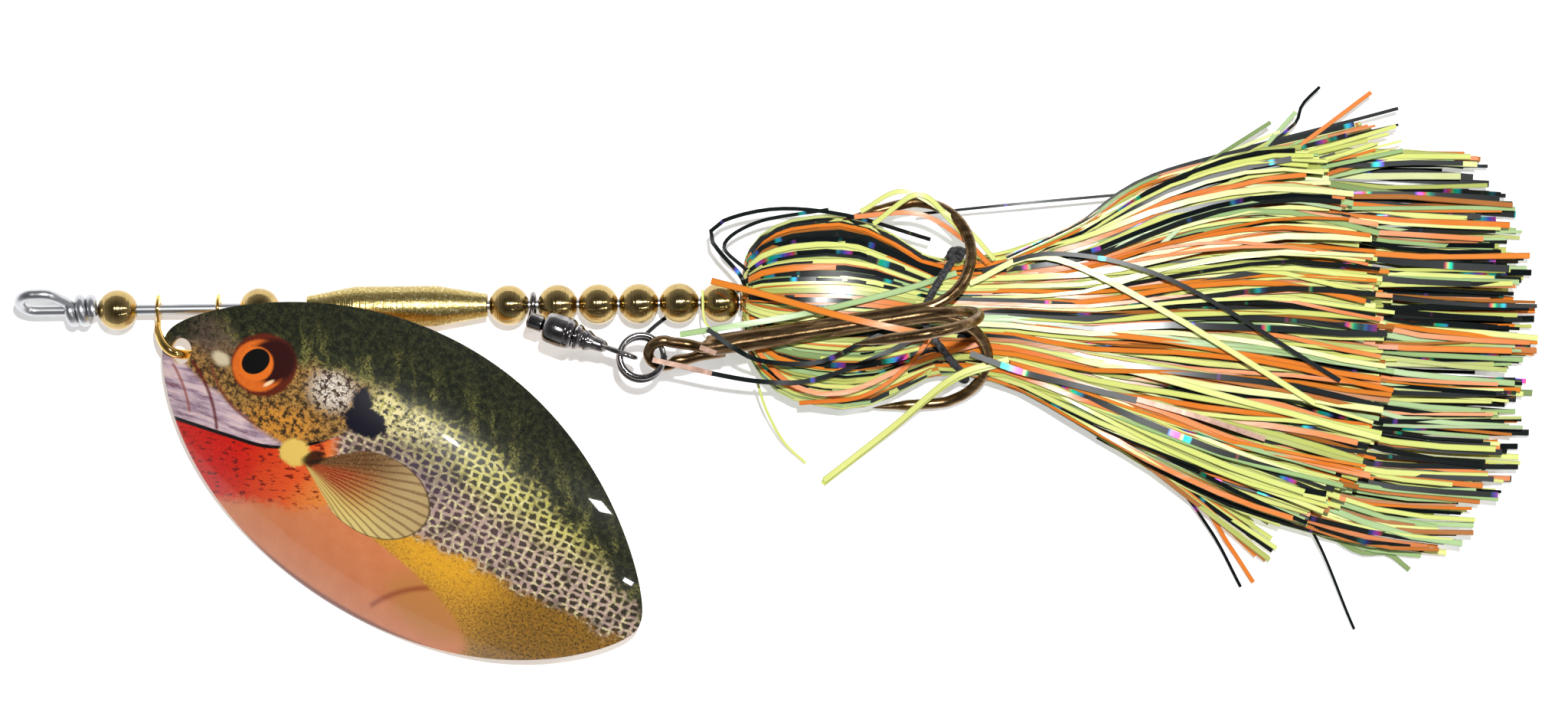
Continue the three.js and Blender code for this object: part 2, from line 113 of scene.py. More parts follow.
class Signal:
    """One value or colour socket in a material, with the operators that its maths needs."""

    def __init__(self, tree, socket):
        self.tree = tree
        self.socket = socket

    def node(self, kind, settings=None, inputs=None, output=0):
        """Adds a node of any type: its settings first, then the values or links of its sockets."""
        made = self.tree.nodes.new(kind)
        for key, value in (settings or {}).items():
            if key == "stops":
                ramp = made.color_ramp
                while len(ramp.elements) < len(value):
                    ramp.elements.new(0.5)
                for element, (place, colour) in zip(ramp.elements, value):
                    element.position = place
                    element.color = (*colour, 1)
            elif key == "interpolation":
                made.color_ramp.interpolation = value
            else:
                setattr(made, key, value)
        for key, value in (inputs or {}).items():
            if isinstance(value, Signal):
                self.tree.links.new(value.socket, made.inputs[key])
            else:
                made.inputs[key].default_value = value
        return Signal(self.tree, made.outputs[output])

    def maths(self, operation, *values):
        return self.node("ShaderNodeMath", {"operation": operation}, dict(enumerate(values)))

    def __add__(self, other):
        return self.maths("ADD", self, other)

    def __radd__(self, other):
        return self.maths("ADD", other, self)

    def __sub__(self, other):
        return self.maths("SUBTRACT", self, other)

    def __rsub__(self, other):
        return self.maths("SUBTRACT", other, self)

    def __mul__(self, other):
        return self.maths("MULTIPLY", self, other)

    def __rmul__(self, other):
        return self.maths("MULTIPLY", other, self)

    def __truediv__(self, other):
        return self.maths("DIVIDE", self, other)

    def __pow__(self, other):
        return self.maths("POWER", self, other)

    def __abs__(self):
        return self.maths("ABSOLUTE", self)

    def largest(self, other):
        return self.maths("MAXIMUM", self, other)

    def step(self, low, high):
        """0 below low, 1 above high, smooth between; the other way round where low is above high."""
        if low > high:
            return 1 - self.step(high, low)
        return self.node("ShaderNodeMapRange", {"interpolation_type": "SMOOTHSTEP", "clamp": True},
                         {"Value": self, "From Min": low, "From Max": high})

    def mix(self, first, second):
        """first where this is 0, second where it is 1; both are colours."""
        return self.node("ShaderNodeMix", {"data_type": "RGBA"},
                         {0: self, 6: colour(first), 7: colour(second)}, output=2)

    def noise(self, scale, detail=3.0, roughness=0.55, colours=False):
        return self.node("ShaderNodeTexNoise", {"noise_dimensions": "3D"},
                         {"Vector": self, "Scale": scale, "Detail": detail, "Roughness": roughness},
                         output=1 if colours else 0)

    def ramp(self, *stops, interpolation="LINEAR"):
        return self.node("ShaderNodeValToRGB", {"stops": stops, "interpolation": interpolation}, {0: self})

    def axis(self, name):
        split = self.node("ShaderNodeSeparateXYZ", {}, {0: self})
        return Signal(self.tree, split.socket.node.outputs[name])

    def mapped(self, shift=(0, 0, 0), turn=(0, 0, 0), stretch=(1, 1, 1)):
        """The place as a pattern sees it that has been stretched, turned and then shifted."""
        return self.node("ShaderNodeMapping", {"vector_type": "TEXTURE"},
                         {"Vector": self, "Location": shift, "Rotation": turn, "Scale": stretch})

    def warped(self, scale, amount):
        """The place, pushed about by soft noise."""
        push = self.noise(scale, 3.0, colours=True)
        return self.node("ShaderNodeVectorMath", {"operation": "MULTIPLY_ADD"},
                         {0: push, 1: (amount, amount, amount), 2: self})


def colour(value):
    """A colour for a node: a signal as it is, or three numbers with full alpha."""
    return value if isinstance(value, Signal) else (*value, 1)


def begin(name):
    """A new material: itself, its shader node, and Object coordinates."""
    material = bpy.data.materials.new(name)
    material.use_nodes = True
    tree = material.node_tree
    shader = tree.nodes["Principled BSDF"]
    place = Signal(tree, tree.nodes.new("ShaderNodeTexCoord").outputs["Object"])
    return material, shader, place


def feed(shader, **sockets):
    """Sets or links the shader's sockets; base_color=... stands for Base Color."""
    for key, value in sockets.items():
        socket = shader.inputs[key.replace("_", " ").title().replace("Ior", "IOR")]
        if isinstance(value, Signal):
            value.tree.links.new(value.socket, socket)
        else:
            socket.default_value = (*value, 1) if isinstance(value, tuple) else value


def bump(height, depth, strength=1.0):
    """A normal that follows a height pattern; depth is in metres."""
    return height.node("ShaderNodeBump", {}, {"Strength": strength, "Distance": depth, "Height": height})


table_finish, table_shader, place = begin("white_table")
feed(table_shader, base_color=place.noise(3.0).step(0.0, 1.0).mix((0.93, 0.93, 0.94), (0.96, 0.96, 0.96)),
     roughness=0.9, specular_ior_level=0.1, emission_color=(1.0, 1.0, 1.0), emission_strength=0.42)
table.data.materials.append(table_finish)


# ---- Shaft: one drawn stainless wire. Its front end is bent into the line-tie eye and wrapped
# twice round itself; its rear end closes in a loop that the skirt hides.
def at(x, y, z=0.0):
    """A place from the shaft's centre line: x along it, y to the side, z upwards, in millimetres."""
    return Vector((x * MM, SHAFT_Y + y * MM, SHAFT_Z + z * MM))


def only(piece):
    """Makes one object the active and only selected one."""
    deselect()
    piece.select_set(True)
    bpy.context.view_layer.objects.active = piece
    return piece


def finish_with(piece, material, body, nodes=()):
    """Gives a finished piece its material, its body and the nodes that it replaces."""
    piece.data.materials.clear()
    piece.data.materials.append(material)
    if nodes:
        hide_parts(*nodes)
    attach(piece, body)
    return piece


def smooth_path(points, spacing):
    """Points at an even spacing along a smooth line through the given ones, in millimetres."""
    points = [Vector(p) for p in points]
    ends = [2 * points[0] - points[1], *points, 2 * points[-1] - points[-2]]
    dense = []
    for a, b, c, d in zip(ends, ends[1:], ends[2:], ends[3:]):
        steps = max(1, math.ceil((c - b).length / spacing))
        for i in range(steps):
            t = i / steps
            dense.append(0.5 * ((2 * b) + (c - a) * t + (2 * a - 5 * b + 4 * c - d) * t * t
                                + (3 * b - a - 3 * c + d) * t ** 3))
    dense.append(points[-1])
    return dense


def arc(centre, across, up, radius, start, end, count):
    """Points on a round arc, from start to end in degrees."""
    points = []
    for i in range(count + 1):
        angle = math.radians(start + (end - start) * i / count)
        points.append(Vector(centre) + radius * (math.cos(angle) * Vector(across)
                                                 + math.sin(angle) * Vector(up)))
    return points


def weld(gap):
    """In edit mode: merges points nearer than the gap, turns the faces outwards, and leaves it."""
    bpy.ops.mesh.select_all(action="SELECT")
    bpy.ops.mesh.remove_doubles(threshold=gap)
    bpy.ops.mesh.normals_make_consistent(inside=False)
    bpy.ops.object.mode_set(mode="OBJECT")


def wire(name, points, radius, spacing=0.3, sides=5, thickness=None):
    """A round wire through the points; thickness(share of length) may vary its radius."""
    deselect()
    bpy.ops.curve.primitive_bezier_curve_add()
    piece = bpy.context.object
    piece.name = name
    data = piece.data
    data.splines.clear()
    dense = smooth_path(points, spacing)
    spline = data.splines.new("POLY")
    spline.points.add(len(dense) - 1)
    for i, point in enumerate(dense):
        spline.points[i].co = (*at(*point), 1)
        spline.points[i].radius = thickness(i / (len(dense) - 1)) if thickness else 1.0
    data.dimensions = "3D"
    data.bevel_depth = radius * MM
    data.bevel_resolution = sides
    data.use_fill_caps = True
    only(piece)
    bpy.ops.object.convert(target="MESH")
    piece = bpy.context.object
    bpy.ops.object.mode_set(mode="EDIT")
    weld(1e-6)
    bpy.ops.object.shade_smooth_by_angle(angle=math.radians(40))
    return piece


WIRE_RADIUS = 0.86
EYE_FRONT = -119.5
EYE_WIDTH = 4.7
EYE_ROLL = math.radians(58)
WRAP_FRONT = -111.9
WRAP_PITCH = 1.78
WRAP_TURNS = 2.25
WRAP_STEPS = 12
REAR_LOOP_X = 16.9
REAR_LOOP_RADIUS = 2.0
eye_side = Vector((0, math.cos(EYE_ROLL), math.sin(EYE_ROLL)))
eye_down = Vector((1, 0, 0)).cross(eye_side)
half_eye = EYE_WIDTH / 2
bow_centre = Vector((EYE_FRONT + half_eye, 0, 0)) + eye_side * half_eye
wrap_radius = 2 * WIRE_RADIUS + 0.02
shaft_points = arc((REAR_LOOP_X, 0, 0), (1, 0, 0), (0, 1, 0), REAR_LOOP_RADIUS, 144, -150, 14)
shaft_points += [Vector((x, side, 0)) for x, side in (
    (14.0, -0.15), (11, 0), (0, 0), (-60, 0), (-108, 0), (EYE_FRONT + half_eye + 2.2, 0))]
shaft_points += arc(bow_centre, eye_side, (1, 0, 0), half_eye, 180, 360, 12)
shaft_points += [Vector((EYE_FRONT + 4.9, 0, 0)) + eye_side * (EYE_WIDTH - 0.25)]
for i in range(int(WRAP_TURNS * WRAP_STEPS)):
    turn = 2 * math.pi * i / WRAP_STEPS
    shaft_points.append(Vector((WRAP_FRONT + WRAP_PITCH * i / WRAP_STEPS, 0, 0))
                        + wrap_radius * (math.cos(turn) * eye_side + math.sin(turn) * eye_down))
shaft = wire("shaft", shaft_points, WIRE_RADIUS)

stainless, shader, place = begin("drawn_stainless")
drawn = place.mapped(stretch=(0.05, 0.0006, 0.0006)).noise(1.0, 2.0)
smudge = place.noise(220.0, 3.0)
feed(shader, base_color=smudge.mix((0.42, 0.43, 0.45), (0.66, 0.67, 0.68)), metallic=1.0,
     roughness=0.24 + 0.16 * drawn, normal=bump(drawn, 0.00004, 0.5))
finish_with(shaft, stainless, "shaft", ["shaft_wire"])

# ---- Beads: quarter-inch brass balls, drilled through and turned, so that fine rings run round
# them. Each one is free to turn on the shaft.
def middle(node):
    """The middle of a CAD node's box, from the shaft's centre line, in millimetres."""
    low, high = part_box(node)
    return (Vector(low) + Vector(high)) / 2 / MM - Vector((0, SHAFT_Y, SHAFT_Z)) / MM


def turned(name, corners, centre=(0, 0, 0), along=(1, 0, 0), steps=64, smooth=35):
    """A closed ring turned about an axis, from the (along, radius) corners of its section."""
    deselect()
    bpy.ops.mesh.primitive_circle_add(vertices=len(corners), radius=MM)
    piece = bpy.context.object
    piece.name = name
    for vertex, (x, radius) in zip(piece.data.vertices, corners):
        vertex.co = (x * MM, radius * MM, 0)
    bpy.ops.object.mode_set(mode="EDIT")
    bpy.ops.mesh.select_all(action="SELECT")
    bpy.ops.mesh.spin(steps=steps, angle=2 * math.pi, center=(0, 0, 0), axis=(1, 0, 0))
    weld(2e-6)
    turn = Vector((1, 0, 0)).rotation_difference(Vector(along)).to_matrix().to_4x4()
    piece.data.transform(Matrix.Translation(at(*centre)) @ turn)
    only(piece)
    bpy.ops.object.shade_smooth_by_angle(angle=math.radians(smooth))
    return piece


def turned_brass(name, light, dark, gloss, ring_depth, sparkle):
    """Turned brass: fine rings round the shaft's axis, patches of handling, bright grain."""
    material, shader, place = begin(name)
    rings = place.mapped(stretch=(0.00016, 0.02, 0.02)).noise(1.0, 2.0)
    broad = place.mapped(stretch=(0.0009, 0.03, 0.03)).noise(1.0, 2.0)
    tarnish = place.noise(420.0, 4.0).step(0.42, 0.75)
    grit = place.noise(2600.0, 2.0)
    brass = (0.75 * tarnish * broad).mix(light, dark)
    brass = (sparkle * grit.step(0.5, 0.36)).mix(brass, dark)
    brass = (sparkle * grit.step(0.56, 0.68)).mix(brass, (0.95, 0.86, 0.5))
    feed(shader, base_color=brass, metallic=1.0, roughness=gloss + 0.1 * rings,
         normal=bump(rings + 0.6 * broad + sparkle * grit, ring_depth, 0.6))
    return material


BEAD_RADIUS = 3.19
BEAD_STEPS = 36
BORE = 0.88
bead_finish = turned_brass("polished_brass", (0.5, 0.36, 0.14), (0.26, 0.16, 0.05),
                           gloss=0.07, ring_depth=0.00009, sparkle=0.1)
bore_angle = math.asin(BORE / BEAD_RADIUS)
bead_corners = []
for i in range(BEAD_STEPS + 1):
    angle = bore_angle + (math.pi - 2 * bore_angle) * i / BEAD_STEPS
    bead_corners.append((-BEAD_RADIUS * math.cos(angle), BEAD_RADIUS * math.sin(angle)))
for number in range(1, 9):
    node = f"bead_{number}"
    bead = turned(f"brass_{node}", bead_corners, (middle(node).x, 0, 0))
    finish_with(bead, bead_finish, node, [node])

# ---- Body: a bored brass bar, turned to a long cone at each end and left satin. It stands between
# the blade and the rear beads and gives the lure its casting weight.
BODY_RADIUS = 3.25
BODY_TIP = 1.85
BODY_CHAMFER = 0.12
FRONT_CONE = 7.5
REAR_CONE = 8.0
body_low, body_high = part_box("brass_body")
body_front = body_low[0] / MM
body_rear = body_high[0] / MM
cone_rear = body_front + FRONT_CONE
cone_front = body_rear - REAR_CONE
body = turned("turned_body", [
    (body_front + 0.1, BORE), (body_front, BORE + 0.1), (body_front, BODY_TIP - BODY_CHAMFER),
    (body_front + BODY_CHAMFER, BODY_TIP), (cone_rear - 0.1, BODY_RADIUS - 0.03),
    (cone_rear + 0.1, BODY_RADIUS), (cone_front - 0.1, BODY_RADIUS),
    (cone_front + 0.1, BODY_RADIUS - 0.03), (body_rear - BODY_CHAMFER, BODY_TIP),
    (body_rear, BODY_TIP - BODY_CHAMFER), (body_rear, BORE + 0.1), (body_rear - 0.1, BORE),
], smooth=12)
body_finish = turned_brass("satin_brass", (0.52, 0.4, 0.14), (0.3, 0.22, 0.07),
                           gloss=0.25, ring_depth=0.0001, sparkle=0.65)
finish_with(body, body_finish, "brass_body", ["brass_body"])

# ---- Clevis: a gold-plated stirrup of round wire, thinner at the ends, where it is hammered into
# two flat drilled ears. The ears turn on the shaft and the bow carries the blade.
def modify(piece, kind, **settings):
    """Adds a modifier to the active piece with these settings and applies it."""
    bpy.ops.object.modifier_add(type=kind)
    modifier = piece.modifiers[-1]
    for key, value in settings.items():
        setattr(modifier, key, value)
    bpy.ops.object.modifier_apply(modifier=modifier.name)


def join(name, pieces):
    """Makes one object of several."""
    deselect()
    for piece in pieces:
        piece.select_set(True)
    bpy.context.view_layer.objects.active = pieces[0]
    bpy.ops.object.join()
    whole = bpy.context.object
    whole.name = name
    return whole


def fuse(name, pieces, voxel, passes):
    """Joins pieces that run into each other and melts them into one closed skin."""
    whole = join(name, pieces)
    modify(whole, "REMESH", mode="VOXEL", voxel_size=voxel * MM)
    modify(whole, "SMOOTH", iterations=passes, factor=0.5)
    bpy.ops.object.shade_smooth()
    return whole


EAR_FRONT = -97.9
EAR_REAR = -88.4
EAR_RADIUS = 2.35
EAR_HALF = 0.28
EAR_BORE = 1.05
EAR_CHAMFER = 0.15
BOW_RADIUS = 0.78
clevis_points = [
    (EAR_FRONT, -1.75, 0.8), (EAR_FRONT + 0.1, -3.4, 2.0), (EAR_FRONT + 1.0, -5.4, 2.95),
    (EAR_FRONT + 2.4, -6.7, 3.05), (EAR_FRONT + 4.1, -7.15, 2.1), (EAR_FRONT + 5.6, -7.0, 0.85),
    (EAR_REAR - 1.8, -6.0, 0.1), (EAR_REAR - 0.4, -4.2, -0.1), (EAR_REAR, -1.9, 0.0),
]
bow = wire("clevis_bow", clevis_points, BOW_RADIUS, spacing=0.15, sides=6,
           thickness=lambda share: 0.42 + 0.58 * math.sin(math.pi * min(1, max(0, share))) ** 0.6)
ears = [turned("clevis_ear", [
    (-EAR_HALF, EAR_BORE), (-EAR_HALF, EAR_RADIUS - EAR_CHAMFER), (-EAR_HALF + EAR_CHAMFER, EAR_RADIUS),
    (EAR_HALF - EAR_CHAMFER, EAR_RADIUS), (EAR_HALF, EAR_RADIUS - EAR_CHAMFER), (EAR_HALF, EAR_BORE),
], (x, 0, 0)) for x in (EAR_FRONT, EAR_REAR)]
clevis = fuse("stirrup_clevis", [bow, *ears], 0.09, 3)
gold, shader, place = begin("gold_plate")
worn = place.noise(700.0, 3.0)
feed(shader, base_color=worn.mix((0.98, 0.66, 0.2), (0.78, 0.45, 0.1)), metallic=1.0,
     roughness=0.05 + 0.1 * worn, normal=bump(worn, 0.00002, 0.3))
finish_with(clevis, gold, "clevis", ["clevis"])

# ---- Blade: a pressed brass leaf, domed and drilled near its front corner. Its face carries a
# sunfish in print under a thick clear coat; its back is bare metal.
HALF_LENGTH = 45.6
HALF_WIDTH = 23.0
CORNER_ROUNDING = 0.0045
DOME_DEPTH = 9.5
DOME_POWER = 2.6
THICKNESS = 0.9
BLADE_MIDDLE = (-59.5, -27.2, 0.05)
BLADE_TURN = math.radians(-32.6)
BLADE_TILT = math.radians(11)
HOLE_PLACE = (-93.8, -6.6, 2.0)
HOLE_RADIUS = 2.05
HOLE_LEAN = math.radians(-24)
EDGE_BEVEL = 0.14
BLADE_GRID = (150, 110)
edge_radius = (HALF_LENGTH ** 2 + HALF_WIDTH ** 2) / (2 * HALF_WIDTH)


def blade_reach(angle):
    """From the blade's middle to its edge, whose two sides are arcs that meet in rounded corners."""
    drop = (edge_radius - HALF_WIDTH) * math.sqrt(math.sin(angle) ** 2 + CORNER_ROUNDING)
    return math.sqrt(drop ** 2 + HALF_LENGTH ** 2) - drop


def blade_dome(u, v):
    """How far the face stands above the rim."""
    return DOME_DEPTH * (1 - min(1.05, math.hypot(u / HALF_LENGTH, v / HALF_WIDTH)) ** DOME_POWER)


deselect()
bpy.ops.mesh.primitive_grid_add(x_subdivisions=BLADE_GRID[0], y_subdivisions=BLADE_GRID[1], size=2)
blade = bpy.context.object
blade.name = "leaf_blade"
for vertex in blade.data.vertices:
    across, up = vertex.co.x, vertex.co.y
    disc = Vector((across * math.sqrt(1 - up * up / 2), up * math.sqrt(1 - across * across / 2)))
    reach = blade_reach(math.atan2(disc.y, disc.x))
    u, v = disc.x * reach, disc.y * reach
    vertex.co = Vector((u, v, blade_dome(u, v) - THICKNESS / 2)) * MM
only(blade)
modify(blade, "SOLIDIFY", thickness=THICKNESS * MM, offset=1.0)
blade_place = (Matrix.Translation(at(*BLADE_MIDDLE)) @ Matrix.Rotation(BLADE_TURN, 4, "Z")
               @ Matrix.Rotation(BLADE_TILT, 4, "X"))
blade.data.transform(blade_place)
deselect()
bpy.ops.mesh.primitive_cylinder_add(vertices=64, radius=HOLE_RADIUS * MM, depth=12 * MM)
drill = bpy.context.object
drill.data.transform(Matrix.Translation(at(*HOLE_PLACE)) @ Matrix.Rotation(HOLE_LEAN, 4, "Y"))
only(blade)
modify(blade, "BOOLEAN", object=drill, solver="EXACT")
modify(blade, "BEVEL", width=EDGE_BEVEL * MM, segments=2, limit_method="ANGLE", angle_limit=math.radians(50))
bpy.ops.object.shade_smooth_by_angle(angle=math.radians(40))
bpy.data.objects.remove(drill)


def tone(red, green, blue):
    """A colour by its usual 0 to 255 values, as the shader's linear ones."""
    return tuple(c / 12.92 / 255 if c <= 10 else ((c / 255 + 0.055) / 1.055) ** 2.4
                 for c in (red, green, blue))


print_finish, shader, place = begin("sunfish_print")
# Print axes in millimetres from the middle: u along the blade to the tail, v towards the fish's back.
flat = place.mapped((BLADE_MIDDLE[0] * MM, SHAFT_Y + BLADE_MIDDLE[1] * MM, 0),
                    (0, 0, BLADE_TURN), (MM, MM, 1000.0))
u = flat.axis("X")
v = flat.axis("Y")
wobble = flat.noise(0.22, 4.0) - 0.5
fine = flat.noise(1.05, 4.0, 0.7)
grain = flat.noise(2.6, 3.0, 0.75)
blotch = flat.noise(0.28, 5.0, 0.65)


def blob(centre, reach, lean=0.0, soft=0.12, rough=0.0):
    """1 inside an ellipse on the blade, 0 outside it."""
    local = flat.mapped((*centre, 0), (0, 0, math.radians(lean)), (*reach, 1000.0))
    distance = local.node("ShaderNodeVectorMath", {"operation": "LENGTH"}, {0: local}, output=1)
    if rough:
        distance = distance + rough * (fine - 0.5)
    return distance.step(1 + soft, 1 - soft)


def side_of(point, heading, soft=0.8, rough=0.0):
    """1 to the left of a line through the point with that heading in degrees, 0 to the right."""
    turn = math.radians(heading)
    distance = (v - point[1]) * math.cos(turn) - (u - point[0]) * math.sin(turn)
    return (distance + rough * (fine - 0.5) + rough * wobble).step(-soft, soft)


def stroke(start, end, width, bow=0.0, soft=0.6):
    """1 along a brush stroke between two points, with a bow to its left."""
    run = Vector(end) - Vector(start)
    heading = math.atan2(run.y, run.x)
    along = ((u - start[0]) * math.cos(heading) + (v - start[1]) * math.sin(heading)) / run.length
    aside = (v - start[1]) * math.cos(heading) - (u - start[0]) * math.sin(heading)
    near = abs(aside - 4 * bow * along * (1 - along))
    ends = along.step(-0.03, 0.06) * along.step(1.03, 0.94)
    return near.step(width * (1 + soft), width * (1 - soft)) * ends


def painted(base, *coats):
    """Lays coats of (mask, red, green, blue) over a base colour, one after another."""
    for mask, *shade in coats:
        base = mask.mix(base, tone(*shade))
    return base


# The flank: a light net over dark scales, between the dark back and the golden belly.
back_edge = v - 11.3 + 0.0062 * (u - 2) * (u - 2) + 6.0 * wobble + 7.0 * (fine - 0.5)
plates = flat.warped(0.5, 1.0).mapped(turn=(0, 0, math.radians(8)), stretch=(1.55, 1.15, 1))
seam = plates.node("ShaderNodeTexVoronoi", {"feature": "DISTANCE_TO_EDGE", "voronoi_dimensions": "2D"},
                   {"Vector": plates, "Scale": 1.0, "Randomness": 0.5})
scales = (seam + 0.42 * (fine - 0.5) + 0.34 * (grain - 0.5)).step(0.1, 0.26)
flank_light = painted(
    (v + 5 * wobble).step(1.0, 7.5).mix(tone(178, 152, 140), tone(190, 182, 96)),
    (0.8 * fine.step(0.48, 0.6), 230, 220, 160))
flank_dark = painted(
    (v + 4 * wobble).step(-1.0, 8.0).mix(tone(78, 58, 62), tone(34, 32, 20)),
    ((u + 8 * wobble).step(14.0, 30.0), 40, 34, 26))
lavender = blob((1.0, 4.6), (8.0, 4.6), -10, 0.5, 1.0)
cream = blob((-7.0, 8.6), (9.0, 3.6), 4, 0.5, 1.6)
flank = painted(
    (0.95 * scales).mix(flank_light, flank_dark),
    (0.6 * lavender * (1 - 0.6 * fine), 72, 56, 88),
    (0.6 * blotch.step(0.5, 0.64), 52, 46, 34),
    (0.9 * cream * fine.step(0.47, 0.54), 228, 214, 150),
    (0.8 * cream * fine.step(0.45, 0.38), 38, 32, 30))

# The back: near-black olive with lighter mottling that reaches down in bars.
bars = flat.warped(0.4, 1.5).mapped(turn=(0, 0, math.radians(38)), stretch=(2.2, 6.5, 1)).noise(1.0, 3.0)
back = painted(
    fine.step(0.4, 0.7).mix(tone(24, 28, 18), tone(58, 60, 36)),
    (0.8 * blotch.step(0.45, 0.62) * grain.step(0.4, 0.6), 18, 22, 18),
    (0.8 * bars.step(0.5, 0.66) * grain.step(0.42, 0.58) * back_edge.step(9.0, 0.5), 140, 136, 72),
    (0.5 * grain.step(0.56, 0.7), 92, 92, 58))
paint = back_edge.step(-1.2, 1.6).mix(flank, back)

# The lower rear: golden yellow that turns to speckled golden brown.
gold_edge = v + 5.0 - 0.07 * (u - 20) + 5.0 * wobble + 4.0 * (fine - 0.5)
bright_gold = blob((12.0, -7.6), (8.5, 3.2), 3, 0.7, 1.0)
golden = painted(
    grain.step(0.4, 0.62).mix(tone(216, 160, 58), tone(158, 106, 34)),
    (0.85 * (u + 8 * wobble).step(14.0, 30.0), 128, 92, 34),
    (0.8 * grain.step(0.5, 0.6) * u.step(14.0, 30.0), 48, 40, 24),
    (0.6 * fine.step(0.52, 0.66) * u.step(10.0, 24.0), 178, 124, 38),
    (0.7 * bright_gold * fine.step(0.3, 0.55), 236, 172, 42))
rear = (u + 5 * wobble).step(-3.0, 2.0)
paint = (gold_edge.step(1.0, -1.0) * rear).mix(paint, golden)

# The belly: salmon, with a dull crease towards the rear, and painted shade as a darker rim along the lower
# edge.
salmon = painted(
    blotch.mix(tone(202, 112, 66), tone(222, 142, 94)),
    (0.5 * grain.step(0.5, 0.8), 182, 112, 70),
    (blob((14.5, -14.8), (7.5, 4.6), -4, 0.35, 0.3), 196, 128, 68),
    (0.8 * stroke((6.0, -20.0), (13.4, -11.6), 0.4, 0.9, 1.2), 150, 66, 36))
belly = blob((-3.2, -17.4), (25.5, 7.6), -2.5, 0.05, 0.1)
inside_rim = blob((0, 0), (44.6, 22.5), 0, 0.015)
# Painted shade: a dark red band between the inner ellipse and the rim, on the lower side only.
paint = painted(belly.mix(paint, salmon), (0.8 * (1 - inside_rim) * v.step(-6, -12), 96, 26, 20))

# The breast: bright red below the gill line, flecked with dark marks, fading to orange.
bend = (u + 23.0).largest(0.0)
above_gill = v + 10.6 - 0.27 * (u + 34.5) - 0.04 * bend * bend
fleck = flat.mapped(turn=(0, 0, math.radians(25)), stretch=(1.5, 0.6, 1)).noise(1.0, 3.0, 0.6)
breast = painted(
    (u + 5 * wobble).step(-25.0, -13.0).mix(tone(204, 26, 14), tone(222, 84, 36)),
    ((u + 4 * wobble).step(-15.0, -8.0), 226, 136, 62),
    (0.9 * fleck.step(0.54, 0.64), 104, 14, 10),
    (0.5 * grain.step(0.56, 0.72), 236, 92, 44))
breast_rear = side_of((-17.6, -15.4), 26, 1.2, 4.0) * (u + 0.5 * v).step(-10.0, -13.0)
paint = (breast_rear * above_gill.step(0.3, -0.3)).mix(paint, breast)

# The cheek: mottled brown, orange and cream between the eye, the gill line and the ear.
cheek = above_gill.step(-0.1, 0.4) * back_edge.step(1.2, -0.8) * (u + 4 * wobble).step(-8.5, -12.5)
amber = blob((-20.5, -2.6), (6.0, 3.0), 22, 0.6, 1.2)
pale_spot = blob((-16.2, 6.4), (3.6, 3.0), 10, 0.5, 2.0)
paint = cheek.mix(paint, painted(
    fine.step(0.4, 0.6).mix(tone(66, 48, 28), tone(176, 132, 70)),
    (0.85 * grain.step(0.52, 0.6), 46, 36, 26),
    (0.8 * amber * fine.step(0.42, 0.56), 216, 142, 48),
    (pale_spot * fine.step(0.44, 0.52), 226, 214, 196),
    (0.8 * pale_spot * grain.step(0.5, 0.42), 70, 62, 70)))

# The jaw: pale, streaked lips and a gill cover that narrows to a crescent above the gill line.
crescent = 7.4 - 0.42 * (u + 34.5) + 1.6 * wobble
jaw = above_gill.step(0.0, 0.2) * (crescent - above_gill).step(-0.5, 0.7)
jaw = jaw * (u + 3 * wobble).step(-14.5, -18.0)
streak = flat.node("ShaderNodeCombineXYZ", {}, {0: 0.16 * u, 1: 1.05 * (above_gill + 1.2 * wobble)})
streaky = streak.noise(1.0, 4.0, 0.6)
jaw_tone = painted(
    streaky.step(0.38, 0.6).mix(tone(148, 124, 142), tone(214, 188, 192)),
    (0.9 * streaky.step(0.56, 0.66), 226, 196, 190),
    (0.7 * streaky.step(0.42, 0.36), 120, 62, 56),
    (0.4 * fine.step(0.5, 0.62), 186, 150, 158))
gill_line = abs(above_gill).step(0.42, 0.2) * u.step(-12.0, -14.0)
snout = blob((-36.4, 3.0), (4.6, 3.2), -8, 0.5, 0.8)
paint = painted(
    jaw.mix(paint, jaw_tone),
    (0.9 * stroke((-38.0, -1.6), (-28.6, -9.0), 0.26, 1.0, 0.9), 98, 26, 24),
    (0.8 * stroke((-40.6, -3.6), (-34.0, -8.8), 0.22, 0.5, 0.9), 150, 76, 60),
    (0.8 * stroke((-35.0, -0.4), (-24.0, -4.6), 0.22, -1.2, 0.9), 116, 52, 40),
    (gill_line, 18, 10, 12),
    (0.8 * snout * fine.step(0.35, 0.6), 96, 78, 66),
    (0.9 * blob((-34.0, 1.2), (1.5, 1.0), 0, 0.4, 1.0), 214, 198, 164))

# The ear spot behind the gill cover.
ear = blob((-9.3, 5.0), (3.5, 2.3), 12, 0.14, 0.7).largest(blob((-11.2, 7.2), (1.7, 2.4), 30, 0.3, 0.9))
paint = painted(paint, (ear, 18, 16, 30))

